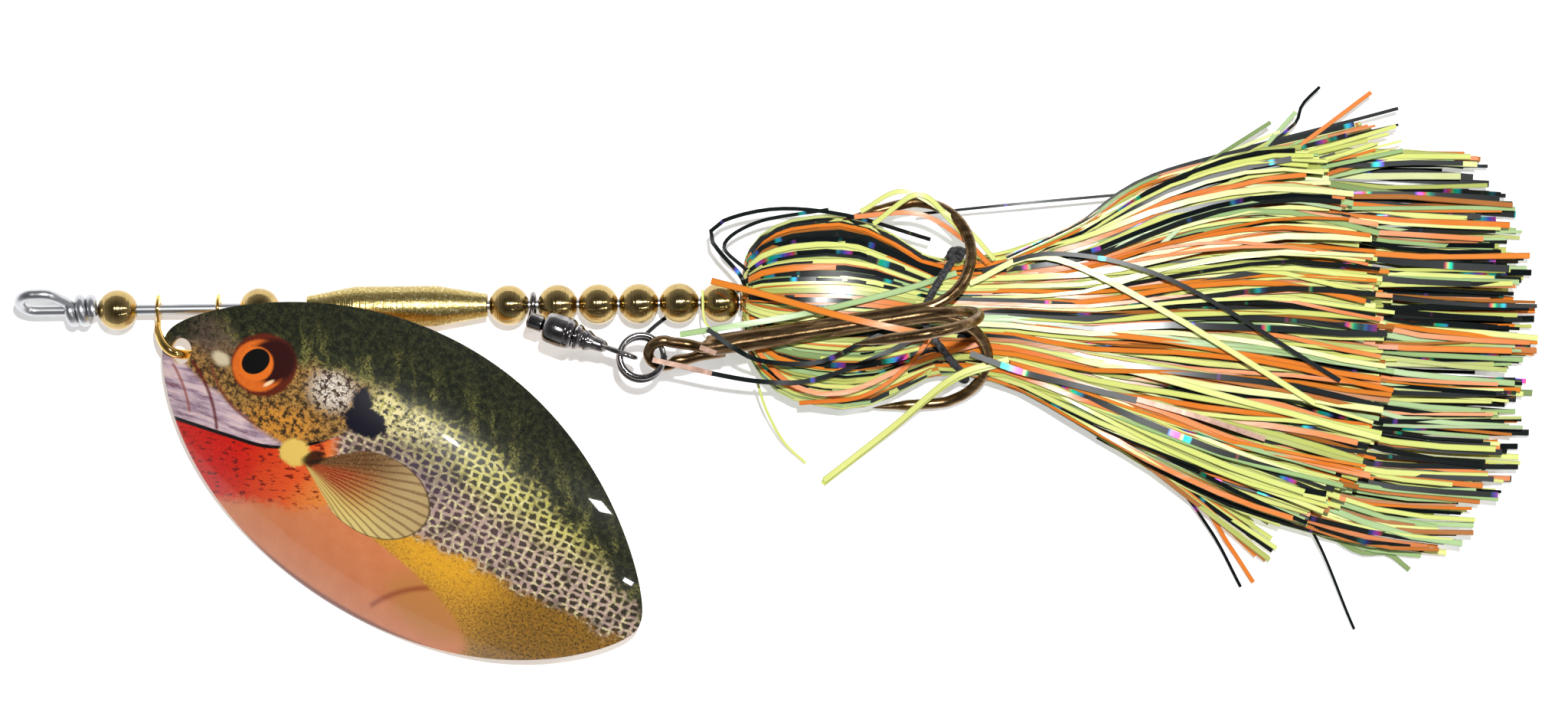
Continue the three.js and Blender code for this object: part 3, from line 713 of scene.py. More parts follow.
# The pectoral fin: a fan of rays from a pale patch at its root.
FIN_ROOT = (-14.3, -5.5)
FIN_HALF_ANGLE = 0.576
FIN_LENGTH = 21.6
fin = flat.mapped((*FIN_ROOT, 0), (0, 0, math.radians(7)), (1, 1, 1000.0))
across = fin.axis("Y")
from_root = fin.node("ShaderNodeVectorMath", {"operation": "LENGTH"}, {0: fin}, output=1)
spread = across.maths("ARCTAN2", across, fin.axis("X").largest(0.01))
narrow = abs(spread) / FIN_HALF_ANGLE
fan_edge = FIN_LENGTH - 10.5 * narrow ** 1.8 - from_root
ray_wave = spread * 84.0 + 3.0 * wobble
rays = ray_wave.maths("SINE", ray_wave)
red_root = from_root.step(14.5, 5.0) * spread.step(-0.5, -0.12) * spread.step(0.42, 0.16)
red_rays = rays.step(-0.2, 0.7) * from_root.step(15.0, 4.0) * spread.step(-0.5, -0.1) * spread.step(0.4, 0.15)
fin_tone = painted(
    (spread + 0.25 * wobble).step(-0.45, 0.3).mix(tone(216, 186, 104), tone(150, 104, 58)),
    (0.7 * from_root.step(9.0, 18.0), 188, 166, 118),
    (0.7 * spread.step(-0.1, -0.5) * from_root.step(6.0, 14.0), 226, 206, 130),
    (0.8 * red_root, 168, 58, 26),
    (red_rays, 140, 14, 8),
    (0.6 * rays.step(0.2, 0.9), 92, 58, 30),
    (0.85 * spread.step(0.14, 0.42) * (1 - 0.5 * fine) * from_root.step(20.0, 10.0), 62, 38, 24),
    (0.4 * grain.step(0.5, 0.75), 204, 176, 122),
    (0.85 * fan_edge.step(0.55, 0.15), 64, 44, 30))
paint = painted(
    (fan_edge.step(-0.1, 0.3) * narrow.step(1.12, 1.04)).mix(paint, fin_tone),
    (blob((-16.2, -5.0), (2.5, 2.1), 20, 0.15, 0.8), 228, 192, 96),
    (0.95 * blob((-13.2, -4.2), (1.9, 1.1), 55, 0.3, 0.9), 42, 26, 16))

# The eye: an orange ring round a dark pupil, in a maroon socket, with a small catch of light.
EYE_LEAN = 25
socket_ring = blob((-27.6, 4.0), (5.3, 4.9), EYE_LEAN, 0.06, 0.12)
iris = blob((-28.2, 3.5), (4.3, 4.05), EYE_LEAN, 0.07, 0.1)
iris_tone = flat.noise(1.4, 3.0).mix(tone(196, 74, 20), tone(232, 126, 44))
paint = painted(
    iris.mix(painted(paint, (socket_ring, 92, 34, 20)), iris_tone),
    (blob((-26.8, 5.2), (3.9, 3.4), 40, 0.16, 0.2), 48, 16, 14),
    (blob((-28.7, 3.5), (2.75, 2.7), EYE_LEAN, 0.08, 0.1), 226, 112, 34),
    (blob((-29.0, 3.8), (2.35, 1.9), 60, 0.05), 14, 13, 12),
    (0.9 * blob((-25.4, 2.0), (0.28, 0.9), -30, 0.4), 250, 214, 170))

# Clear coat over the print; bare brass shows at the rim and all over the back.
upward = place.node("ShaderNodeVectorMath", {"operation": "DOT_PRODUCT"},
                    {0: place.node("ShaderNodeAttribute", {"attribute_name": "face_up"}), 1: (1, 0, 0)},
                    output=1)
printed = upward.step(0.4, 0.6)
brushed = place.mapped(turn=(0, 0, BLADE_TURN), stretch=(0.02, 0.0004, 0.02)).noise(1.0, 3.0)
bare = brushed.mix(tone(206, 164, 84), tone(232, 196, 116))
orange_peel = place.noise(260.0, 2.0)
feed(shader, base_color=printed.mix(bare, paint), metallic=1 - printed,
     roughness=0.34 + 0.06 * (1 - printed) * brushed, specular_ior_level=0.12,
     coat_weight=printed * 0.4, coat_roughness=0.03, normal=bump(orange_peel + 0.1 * fine, 0.00002, 0.25))
face_up = blade.data.attributes.new("face_up", "FLOAT_VECTOR", "POINT")
blade_back = blade_place.inverted()
for vertex in blade.data.vertices:
    local = blade_back @ vertex.co / MM
    on_face = local.z - blade_dome(local.x, local.y) > 0.1 * THICKNESS
    face_up.data[vertex.index].vector = (float(on_face), 0, 0)
finish_with(blade, print_finish, "blade", ["blade"])

# ---- Swivel: black-nickelled, with a ring round the shaft, a barrel that hides a race of balls,
# and a coned tail that ends in a narrow wire loop.
SWIVEL_CENTRE = Vector((-34.4, -4.2, 5.2))
SWIVEL_AXIS = Vector((0.925, -0.34, 0.1)).normalized()
SWIVEL_RING_X = -38.75
SWIVEL_RING_RADIUS = 1.68
SWIVEL_VOXEL = 0.09
RING_LOOP_WIRE = 0.44
LEG_WIRE = 0.55
TAIL_LOOP_WIRE = 0.4
BALL_RADIUS = 0.34
BALL_RACE_RADIUS = 1.5
BALL_COUNT = 7
LOOP_WIDTH = 1.6
LOOP_CENTRE = 11.1
swivel_turn = Vector((1, 0, 0)).rotation_difference(SWIVEL_AXIS)


def on_swivel(along, aside=0.0, up=0.0):
    """A place on the swivel, from the barrel's middle and along its axis."""
    return SWIVEL_CENTRE + swivel_turn @ Vector((along, aside, up))


def plated(name, dark, light, gloss, scratch=0.00003):
    """A dark, glossy plate, a little lighter and duller where it has been handled."""
    material, shader, place = begin(name)
    handled = place.noise(600.0, 4.0)
    scuffs = place.mapped(turn=(0, 0.3, 0.6), stretch=(0.002, 0.0002, 0.0002)).noise(1.0, 3.0)
    feed(shader, base_color=handled.step(0.4, 0.7).mix(dark, light), metallic=1.0,
         roughness=gloss + 0.14 * handled, normal=bump(scuffs, scratch, 0.4))
    return material


black_nickel = plated("black_nickel", (0.22, 0.21, 0.21), (0.42, 0.4, 0.39), 0.06)
ring_arc = arc((SWIVEL_RING_X, 0, 0), (0, 1, 0), (0, 0, 1), SWIVEL_RING_RADIUS, 0, 345, 24)
ring_loop = wire("swivel_ring_wire", ring_arc, RING_LOOP_WIRE)
ring_leg = wire("swivel_leg", [(SWIVEL_RING_X, -0.9, 1.45), (SWIVEL_RING_X - 0.1, -1.9, 3.0),
                               on_swivel(-4.4)], LEG_WIRE)
head_stem = turned("swivel_stem", [
    (-5.4, 0.01), (-5.4, 0.95), (-5.05, 1.3), (-2.95, 1.3), (-2.75, 0.75), (-1.2, 0.75),
    (-1.2, 1.4), (-0.6, 1.4), (-0.6, 0.01)], SWIVEL_CENTRE, SWIVEL_AXIS)
head = fuse("swivel_head_visual", [head_stem, ring_leg, ring_loop], SWIVEL_VOXEL, 3)
finish_with(head, black_nickel, "swivel_head", ["swivel_head"])

barrel = turned("swivel_barrel_visual", [
    (-2.45, 1.1), (-2.45, 1.95), (-2.3, 2.25), (-1.9, 2.48), (-1.3, 2.55), (1.0, 2.55), (1.12, 2.48),
    (1.2, 2.55), (1.75, 2.5), (2.15, 2.3), (2.4, 2.05), (2.4, 1.1), (1.7, 1.1), (1.7, 1.95),
    (-1.7, 1.95), (-1.7, 1.1)], SWIVEL_CENTRE, SWIVEL_AXIS, smooth=50)
finish_with(barrel, black_nickel, "swivel_barrel", ["swivel_barrel"])
balls = []
for number in range(BALL_COUNT):
    angle = 2 * math.pi * number / BALL_COUNT
    centre = on_swivel(0, BALL_RACE_RADIUS * math.cos(angle), BALL_RACE_RADIUS * math.sin(angle))
    deselect()
    bpy.ops.mesh.primitive_uv_sphere_add(segments=16, ring_count=10, radius=BALL_RADIUS * MM)
    ball = bpy.context.object
    ball.data.transform(Matrix.Translation(at(*centre)))
    bpy.ops.object.shade_smooth()
    balls.append(ball)
race = join("swivel_ball_race", balls)
finish_with(race, stainless, "swivel_barrel", ["swivel_balls"])

tail_cone = turned("swivel_cone", [
    (0.6, 0.01), (0.6, 1.4), (1.2, 1.4), (1.2, 0.75), (2.75, 0.75), (2.75, 2.15), (3.3, 2.0),
    (3.75, 1.62), (4.2, 1.5), (4.4, 1.72), (4.7, 1.68), (5.6, 1.2), (7.4, 0.95), (7.9, 0.6),
    (7.9, 0.01)], SWIVEL_CENTRE, SWIVEL_AXIS)
loop_leg = [(7.0, 0.3), (7.8, 1.2), (9.0, LOOP_WIDTH)]
loop_points = [on_swivel(along, 0, up) for along, up in loop_leg]
for i in range(9):
    angle = math.pi * (0.5 - i / 8)
    loop_points.append(on_swivel(LOOP_CENTRE + LOOP_WIDTH * math.cos(angle), 0, LOOP_WIDTH * math.sin(angle)))
loop_points += [on_swivel(along, 0, -up) for along, up in reversed(loop_leg)]
tail_loop = wire("swivel_loop", loop_points, TAIL_LOOP_WIRE)
swivel_tail = fuse("swivel_tail_visual", [tail_cone, tail_loop], SWIVEL_VOXEL, 3)
finish_with(swivel_tail, black_nickel, "swivel_tail", ["swivel_tail"])

# ---- Split ring: nearly two close turns of spring wire, black-nickelled too. The swivel's loop and
# the treble's eye hang in it, and its turns lean a little apart.
RING_CENTRE = Vector((-21.6, -8.5, 6.5))
RING_RADIUS = 3.45
RING_WIRE = 0.46
RING_TURNS = 1.9
RING_STEPS = 20
RING_DRIFT = Vector((0.2, 0.45, 0.88))
ring_points = []
for i in range(int(RING_TURNS * RING_STEPS) + 1):
    angle = 2 * math.pi * i / RING_STEPS + 0.6
    around = Vector((math.cos(angle), math.sin(angle), 0))
    ring_points.append(RING_CENTRE + RING_RADIUS * around + (i / RING_STEPS - RING_TURNS / 2) * RING_DRIFT)
split_ring = wire("split_ring_visual", ring_points, RING_WIRE)
finish_with(split_ring, black_nickel, "split_ring", ["split_ring"])

# ---- Treble: three bronzed hooks brazed side by side. The first one's wire also makes the eye and
# lies back along the shank, and the braze fills the grooves between them.
TREBLE_EYE = Vector((-18.1, -7.9, 6.4))
TREBLE_TURN = math.radians(8)
TREBLE_RISE = math.radians(4)
TREBLE_ROLL = math.radians(10)
HOOK_WIRE = 0.88
HOOK_OFFSET = 0.9
HOOK_BEND = 8.9
BEND_START = 41.0
EYE_RADIUS = 2.4
EYE_ANGLE = math.radians(125)
POINT_LENGTH = 6.5
ARC_STEPS = 12
treble_turn = Matrix.Rotation(TREBLE_TURN, 3, "Z") @ Matrix.Rotation(-TREBLE_RISE, 3, "Y")


def on_treble(along, out, angle):
    """A place on the treble: along the shank from the eye, and out from its axis at an angle."""
    return TREBLE_EYE + treble_turn @ Vector((along, -out * math.sin(angle), out * math.cos(angle)))


hooks = []
for number in range(3):
    angle = TREBLE_ROLL + 2 * math.pi * number / 3
    points = []
    if number == 0:
        points = [on_treble(s, out, EYE_ANGLE) for s, out in ((9.5, 1.5), (5.6, 1.5), (3.2, 1.8))]
        for i in range(ARC_STEPS + 1):
            eye = math.pi * (0.25 + 1.47 * i / ARC_STEPS)
            points.append(on_treble(EYE_RADIUS * math.cos(eye), EYE_RADIUS * math.sin(eye), EYE_ANGLE))
        points += [on_treble(4.2, -0.9, EYE_ANGLE)]
    points += [on_treble(s, HOOK_OFFSET, angle) for s in (7, 14, 26, 37)]
    for i in range(ARC_STEPS + 1):
        bend = math.pi * (-0.5 + i / ARC_STEPS)
        points.append(on_treble(BEND_START + HOOK_BEND * math.cos(bend),
                                HOOK_OFFSET + HOOK_BEND * (1 + math.sin(bend)), angle))
    leg = HOOK_OFFSET + 2 * HOOK_BEND
    points += [on_treble(34.5, leg - 0.7, angle), on_treble(30.4, leg - 1.1, angle)]
    length = sum((b - a).length for a, b in zip(points, points[1:]))
    hooks.append(wire("hook", points, HOOK_WIRE, spacing=0.4, thickness=lambda share, whole=length: (
        min(1.0, 0.12 + (1 - share) * whole / POINT_LENGTH))))
braze = turned("braze", [
    (5.6, 0.01), (6.4, 1.0), (8.5, 1.6), (13, 1.68), (20, 1.6), (26, 1.2), (30, 0.5), (30.4, 0.01),
], TREBLE_EYE, treble_turn @ Vector((1, 0, 0)))
treble = fuse("treble_hooks", [*hooks, braze], 0.16, 3)
bronze, shader, place = begin("bronzed_steel")
etched = place.noise(1500.0, 3.0)
rubbed = place.mapped(stretch=(0.006, 0.001, 0.001)).noise(1.0, 4.0)
feed(shader, base_color=rubbed.step(0.3, 0.7).mix((0.095, 0.052, 0.022), (0.29, 0.185, 0.09)),
     metallic=1.0, roughness=0.17 + 0.2 * rubbed, normal=bump(etched, 0.00003, 0.4))
finish_with(treble, bronze, "treble", ["treble_hook_1", "treble_hook_2", "treble_hook_3"])

# ---- Skirt mounting: a coppery collar on the shaft, then a plastic core tube with two windings of
# tying thread, which hold the middles of all the ribbons.
def sleeve(name, front, rear, inner, outer, ridges, depth):
    """A sleeve whose outside is ridged, as thread or as a screw would be."""
    corners = [(front, inner)]
    steps = ridges * 4
    for i in range(steps + 1):
        groove = depth * (1 - math.cos(math.pi * i / 2)) / 2
        corners.append((front + (rear - front) * i / steps, outer - groove))
    return turned(name, corners + [(rear, inner)], smooth=60)


collar = sleeve("skirt_collar_visual", -6.1, -4.0, 1.0, 1.52, 5, 0.16)
collar_finish = turned_brass("coppery_brass", (0.82, 0.52, 0.26), (0.6, 0.32, 0.14),
                             gloss=0.22, ring_depth=0.00003, sparkle=0.2)
finish_with(collar, collar_finish, "shaft", ["skirt_collar"])
core = sleeve("core_tube_visual", -3.7, 13.4, 1.0, 1.6, 6, 0.02)
plastic, shader, place = begin("black_plastic")
mould = place.noise(900.0, 3.0)
feed(shader, base_color=mould.mix((0.012, 0.012, 0.013), (0.03, 0.03, 0.032)), roughness=0.35 + 0.2 * mould)
finish_with(core, plastic, "shaft", ["core_tube"])
thread, shader, place = begin("tying_thread")
fibre = place.mapped(stretch=(0.0003, 0.0012, 0.0012)).noise(1.0, 3.0)
feed(shader, base_color=fibre.mix((0.012, 0.012, 0.014), (0.07, 0.07, 0.075)), roughness=0.6 + 0.2 * fibre,
     normal=bump(fibre, 0.00006, 0.6))
for node, front, rear in (("front_thread", -3.1, 1.2), ("rear_thread", 5.5, 9.5)):
    winding = sleeve(f"{node}_visual", front, rear, 1.62, 2.1, 14, 0.24)
    finish_with(winding, thread, "shaft", [node])

# ---- Skirt: several hundred flat tinsel ribbons. Each one leaves the collar, doubles back over the
# windings as a round head, is drawn in by the band, and fans out flat to a square-cut end.
STRIP_POINTS = 25
STRIP_WIDTH = 0.86
STRIP_THICKNESS = 0.05
TABLE = -SHAFT_Z / MM
TABLE_GAP = 0.06
SHORT_COUNT = 380
SHORT_END = 94.5
LONG_COUNT = 340
LONG_END = 115.5
HEAD_HALF_WIDTH = 15.0
HEAD_HALF_HEIGHT = 5.6
WAIST = 24
FLAT_RUN = 34
SHANK_END = 34
SHANK_GROOVE = 4.2
SHANK_SLANT = 0.985  # how far a millimetre of the shank reaches along the shaft
CHARTREUSE, ORANGE, SAGE, BLACK, TAN = 0.1, 0.35, 0.6, 0.85, 0.95
chance = random.Random(7)


def through(stations, x):
    """The value at x of a smooth line through (x, value) stations."""
    if x <= stations[0][0]:
        return stations[0][1]
    for i, ((a, low), (b, high)) in enumerate(zip(stations, stations[1:])):
        if x <= b:
            before = stations[max(0, i - 1)]
            after = stations[min(len(stations) - 1, i + 2)]
            rise = (high - before[1]) / max(1e-6, b - before[0]) * (b - a)
            fall = (after[1] - low) / max(1e-6, after[0] - a) * (b - a)
            t = (x - a) / (b - a)
            return (low * (2 * t ** 3 - 3 * t ** 2 + 1) + high * (3 * t ** 2 - 2 * t ** 3)
                    + rise * (t ** 3 - 2 * t ** 2 + t) + fall * (t ** 3 - t ** 2))
    return stations[-1][1]


def strips(name, paths):
    """Closed flat ribbons, each from (points, normals, half width, (kind, tint))."""
    deselect()
    bpy.ops.mesh.primitive_grid_add(x_subdivisions=STRIP_POINTS - 1, y_subdivisions=2 * len(paths) - 1)
    piece = bpy.context.object
    piece.name = name
    mesh = piece.data
    places, marks, rims = [], [], []
    for points, normals, half, (kind, tint) in paths:
        sides, run, along = [], 0.0, []
        for i, point in enumerate(points):
            heading = points[min(i + 1, STRIP_POINTS - 1)] - points[max(i - 1, 0)]
            sides.append(heading.cross(normals[i]).normalized() * half)
            run += (point - points[i - 1]).length if i else 0.0
            along.append(run)
        for sign in (-1, 1):
            for point, side, distance in zip(points, sides, along):
                corner = at(*(point + sign * side))
                places.extend((corner[0], corner[1], max(corner[2], TABLE_GAP * MM)))
                marks.extend((distance, kind, tint))
                rims.append(sign)
    mesh.vertices.foreach_set("co", places)
    strand = mesh.attributes.new("strand", "FLOAT_VECTOR", "POINT")
    strand.data.foreach_set("vector", marks)
    rim = mesh.attributes.new("rim", "FLOAT", "POINT")
    rim.data.foreach_set("value", rims)
    rows = [(index // (STRIP_POINTS - 1)) % 2 == 1 for index in range(len(mesh.polygons))]
    mesh.polygons.foreach_set("select", rows)
    bpy.context.tool_settings.mesh_select_mode = (False, False, True)
    if len(paths) > 1:
        bpy.ops.object.mode_set(mode="EDIT")
        bpy.ops.mesh.delete(type="FACE")
        bpy.ops.object.mode_set(mode="OBJECT")
    bpy.context.tool_settings.mesh_select_mode = (True, False, False)
    modify(piece, "SOLIDIFY", thickness=STRIP_THICKNESS * MM, offset=1.0)
    bpy.ops.object.shade_smooth_by_angle(angle=math.radians(50))
    return piece


# The bundle along the shaft, each as (x, value): half its width and height, and where its middle lies.
half_width = [(-5.2, 7.0), (-4.4, 8.8), (-2.8, 11.3), (-0.5, 13.3), (2, 14.5), (6, 15.3), (10, 15.7),
              (16, 14.2), (22, 10.4), (26, 9.0), (30, 9.6), (37, 11.2), (49, 16.5), (60, 22.3),
              (71, 27.0), (80, 29.3), (95, 31.0), (121, 31.5)]
half_height = [(-5, 3.4), (0, 4.9), (8, 5.3), (16, 5.0), (22, 4.2), (27, 3.8), (34, 4.0), (50, 4.2),
               (121, 4.0)]
middle_side = [(-5, -0.2), (0, -1.2), (10, -1.8), (22, -2.6), (30, -2.9), (37, -3.2), (49, -4.6),
               (60, -4.8), (71, -5.5), (80, -6.3), (95, -8.9), (121, -10.4)]
middle_up = [(-5, 0.0), (5, 0.7), (16, 0.3), (27, -0.6), (40, -0.4), (60, 0.0), (121, -0.8)]


def skirt_ribbon(end, layer, kind, shorter_right, shorter_left):
    """One ribbon from the collar to its end; layer runs from -1 on the table to 1 on top.

    It starts round the shaft at an angle, as part of a round head, and is flattened behind the band.
    """
    angle = chance.uniform(0, math.pi) * (1 if layer > 0 or chance.random() < 0.35 else -1)
    depth = 1.0 - 0.32 * chance.random()
    drift = chance.gauss(0, 0.07)
    phase = chance.uniform(0, 2 * math.pi)
    pace = chance.uniform(0.05, 0.11)
    sway = chance.uniform(0.2, 1.0)
    roll = chance.gauss(0, 0.22)
    spread = 1 - 2 * abs(angle) / math.pi
    head_shape = [(2.6, 0.14), (-1.6, 0.15), (-4.1, 0.2), (-5.5 + 0.4 * chance.random(), 0.34),
                  (-5.2 + 0.3 * chance.random(), 0.49)]
    reach = max(-1.0, min(1.0, spread + 2.0 * drift))
    end -= (shorter_right if reach > 0 else shorter_left) * abs(reach) ** 2.6
    drawn = STRIP_POINTS - 8
    xs = [-4.3, -2.6, *[(end + 0.3) * (i / drawn) ** 1.25 - 0.3 for i in range(drawn + 1)]]
    points, normals = [], []
    for x, share in head_shape:
        share *= depth
        points.append(Vector((x, HEAD_HALF_WIDTH * share * math.cos(angle),
                              HEAD_HALF_HEIGHT * share * math.sin(angle))))
        normals.append(Vector((-0.6, math.cos(angle), math.sin(angle))))
    for x in xs:
        flatness = min(1, max(0, (x - WAIST) / FLAT_RUN)) ** 0.8
        late = min(1, max(0, (x - 30) / 70))
        width = through(half_width, x)
        height = through(half_height, x)
        side = (1 - flatness) * math.cos(angle) * depth + flatness * (spread + (reach - spread) * late)
        rise = (1 - flatness) * math.sin(angle) * depth + flatness * layer
        y = through(middle_side, x) + width * side + sway * flatness * math.sin(phase + pace * x)
        z = through(middle_up, x) + height * rise + 0.25 * math.sin(2 * phase + 0.13 * x)
        shank = on_treble((x - TREBLE_EYE.x) / SHANK_SLANT, 0, 0)
        if x < SHANK_END:  # the head gives way under the hooks' shanks
            near = max(0.0, 1 - abs(y - shank.y) / SHANK_GROOVE)
            z = min(z, shank.z - 2.0 + 6.0 * (1 - near ** 0.5))
        points.append(Vector((x, y, max(z, TABLE + 0.2))))
        out = Vector((0, math.cos(angle) / width, math.sin(angle) / height)).normalized()
        level = Vector((0, math.sin(roll), math.cos(roll)))
        normals.append(((1 - flatness) * out + flatness * level).normalized())
    return points, normals, STRIP_WIDTH / 2 * chance.uniform(0.55, 1.25), (kind, chance.random())


def pick(shares):
    """One of the four tinsels, by their shares of the ribbons."""
    return chance.choices((CHARTREUSE, ORANGE, SAGE, BLACK), shares)[0]


short, long = [], []
for number in range(SHORT_COUNT):
    short.append(skirt_ribbon(SHORT_END + chance.gauss(0, 1.3), chance.uniform(-0.1, 1.0),
                              pick((40, 29, 12, 19)), shorter_right=12, shorter_left=14))
for number in range(LONG_COUNT):
    long.append(skirt_ribbon(LONG_END + min(4.5, chance.gauss(0, 2.8)), chance.uniform(-1.0, 0.1),
                             pick((24, 20, 16, 40)), shorter_right=7, shorter_left=15))

bright, shader, place = begin("bright_tinsel")
strand = place.node("ShaderNodeAttribute", {"attribute_name": "strand"}, {}, output=1)
kind = strand.axis("Y")
tint = strand.axis("Z")
hue = kind.ramp((0.0, tone(210, 222, 104)), (0.22, tone(222, 104, 18)), (0.48, tone(146, 182, 112)),
                interpolation="CONSTANT")
# Painted light: this second ramp holds each tinsel's colour as it looks brightly lit.
lit_pale = kind.ramp((0.0, tone(232, 236, 146)), (0.22, tone(240, 144, 46)), (0.48, tone(178, 208, 146)),
                 interpolation="CONSTANT")
soft_noise = place.noise(120.0, 3.0)
crinkle = place.mapped(stretch=(0.012, 0.002, 0.002)).noise(1.0, 3.0)
rim = abs(place.node("ShaderNodeAttribute", {"attribute_name": "rim"}, {}, output=2))
# Each ribbon is mixed at random between its own colour and the painted lit one.
foil = (0.6 * tint + 0.4 * soft_noise).mix(hue, lit_pale)
# Painted shade: ribbons with a low tint are mixed towards a dark copy of their colour, as if in shadow.
foil = (0.5 * tint.step(0.35, 0.1)).mix(foil, foil.mix((0.02, 0.03, 0.01), (0.35, 0.4, 0.12)))
# Painted shade: both long edges of every ribbon are darkened, as shade between neighbouring ribbons.
foil = (0.5 * rim.step(0.62, 0.95)).mix(foil, (0.06, 0.06, 0.02))
feed(shader, base_color=foil, roughness=0.2 + 0.22 * soft_noise, normal=bump(crinkle, 0.0002, 0.3))

dark, shader, place = begin("dark_tinsel")
strand = place.node("ShaderNodeAttribute", {"attribute_name": "strand"}, {}, output=1)
length = strand.axis("X")
tint = strand.axis("Z")
cells = strand.mapped(stretch=(6.0, 1.0, 0.02)).noise(1.0, 2.0)
glint = cells.step(0.6, 0.66)
phase = tint * 5.3 + length * 0.21
spectrum = phase.maths("FRACT", phase).ramp(
    (0.0, (0.0, 0.8, 0.35)), (0.3, (0.05, 0.7, 0.9)), (0.5, (0.12, 0.16, 1.0)), (0.7, (0.7, 0.1, 0.8)),
    (0.85, (0.95, 0.1, 0.12)), (1.0, (0.1, 0.9, 0.3)))
worn = place.noise(900.0, 3.0)
film = tint.mix((0.004, 0.007, 0.008), (0.014, 0.018, 0.016))
film = (0.8 * glint).mix(film, spectrum)
film = strand.axis("Y").step(0.88, 0.92).mix(film, worn.mix(tone(150, 112, 92), tone(222, 186, 166)))
feed(shader, base_color=film, metallic=0.15 + 0.5 * glint, roughness=0.16 + 0.12 * tint,
     specular_ior_level=0.3)


def skirt_pieces(name, ribbons, nodes):
    """The bright ribbons and the dark ones as two pieces; the bright one stands for the nodes."""
    light = [ribbon for ribbon in ribbons if ribbon[3][0] < BLACK]
    black = [ribbon for ribbon in ribbons if ribbon[3][0] >= BLACK]
    finish_with(strips(f"{name}_bright", light), bright, "shaft", nodes)
    finish_with(strips(f"{name}_dark", black), dark, "shaft", [])


skirt_pieces("skirt_short", short, ["skirt_short_layer", "skirt_bulb"])
skirt_pieces("skirt_long", long, ["skirt_long_layer"])

# ---- Strays: loose ribbons that have slipped out of the bundle. Some cross the treble's shank, some
# loop out of the head, and a thin spray of them stands off the upper side.
def loose(points, kind, width=STRIP_WIDTH, tint=0.5, roll=0.0):
    """One loose ribbon through the points, which lies flat unless it is rolled over."""
    dense = smooth_path(points, 0.5)
    path = [dense[round(i * (len(dense) - 1) / (STRIP_POINTS - 1))] for i in range(STRIP_POINTS)]
    up = Vector((0, math.sin(roll), math.cos(roll)))
    return path, [up] * STRIP_POINTS, width / 2, (kind, tint)


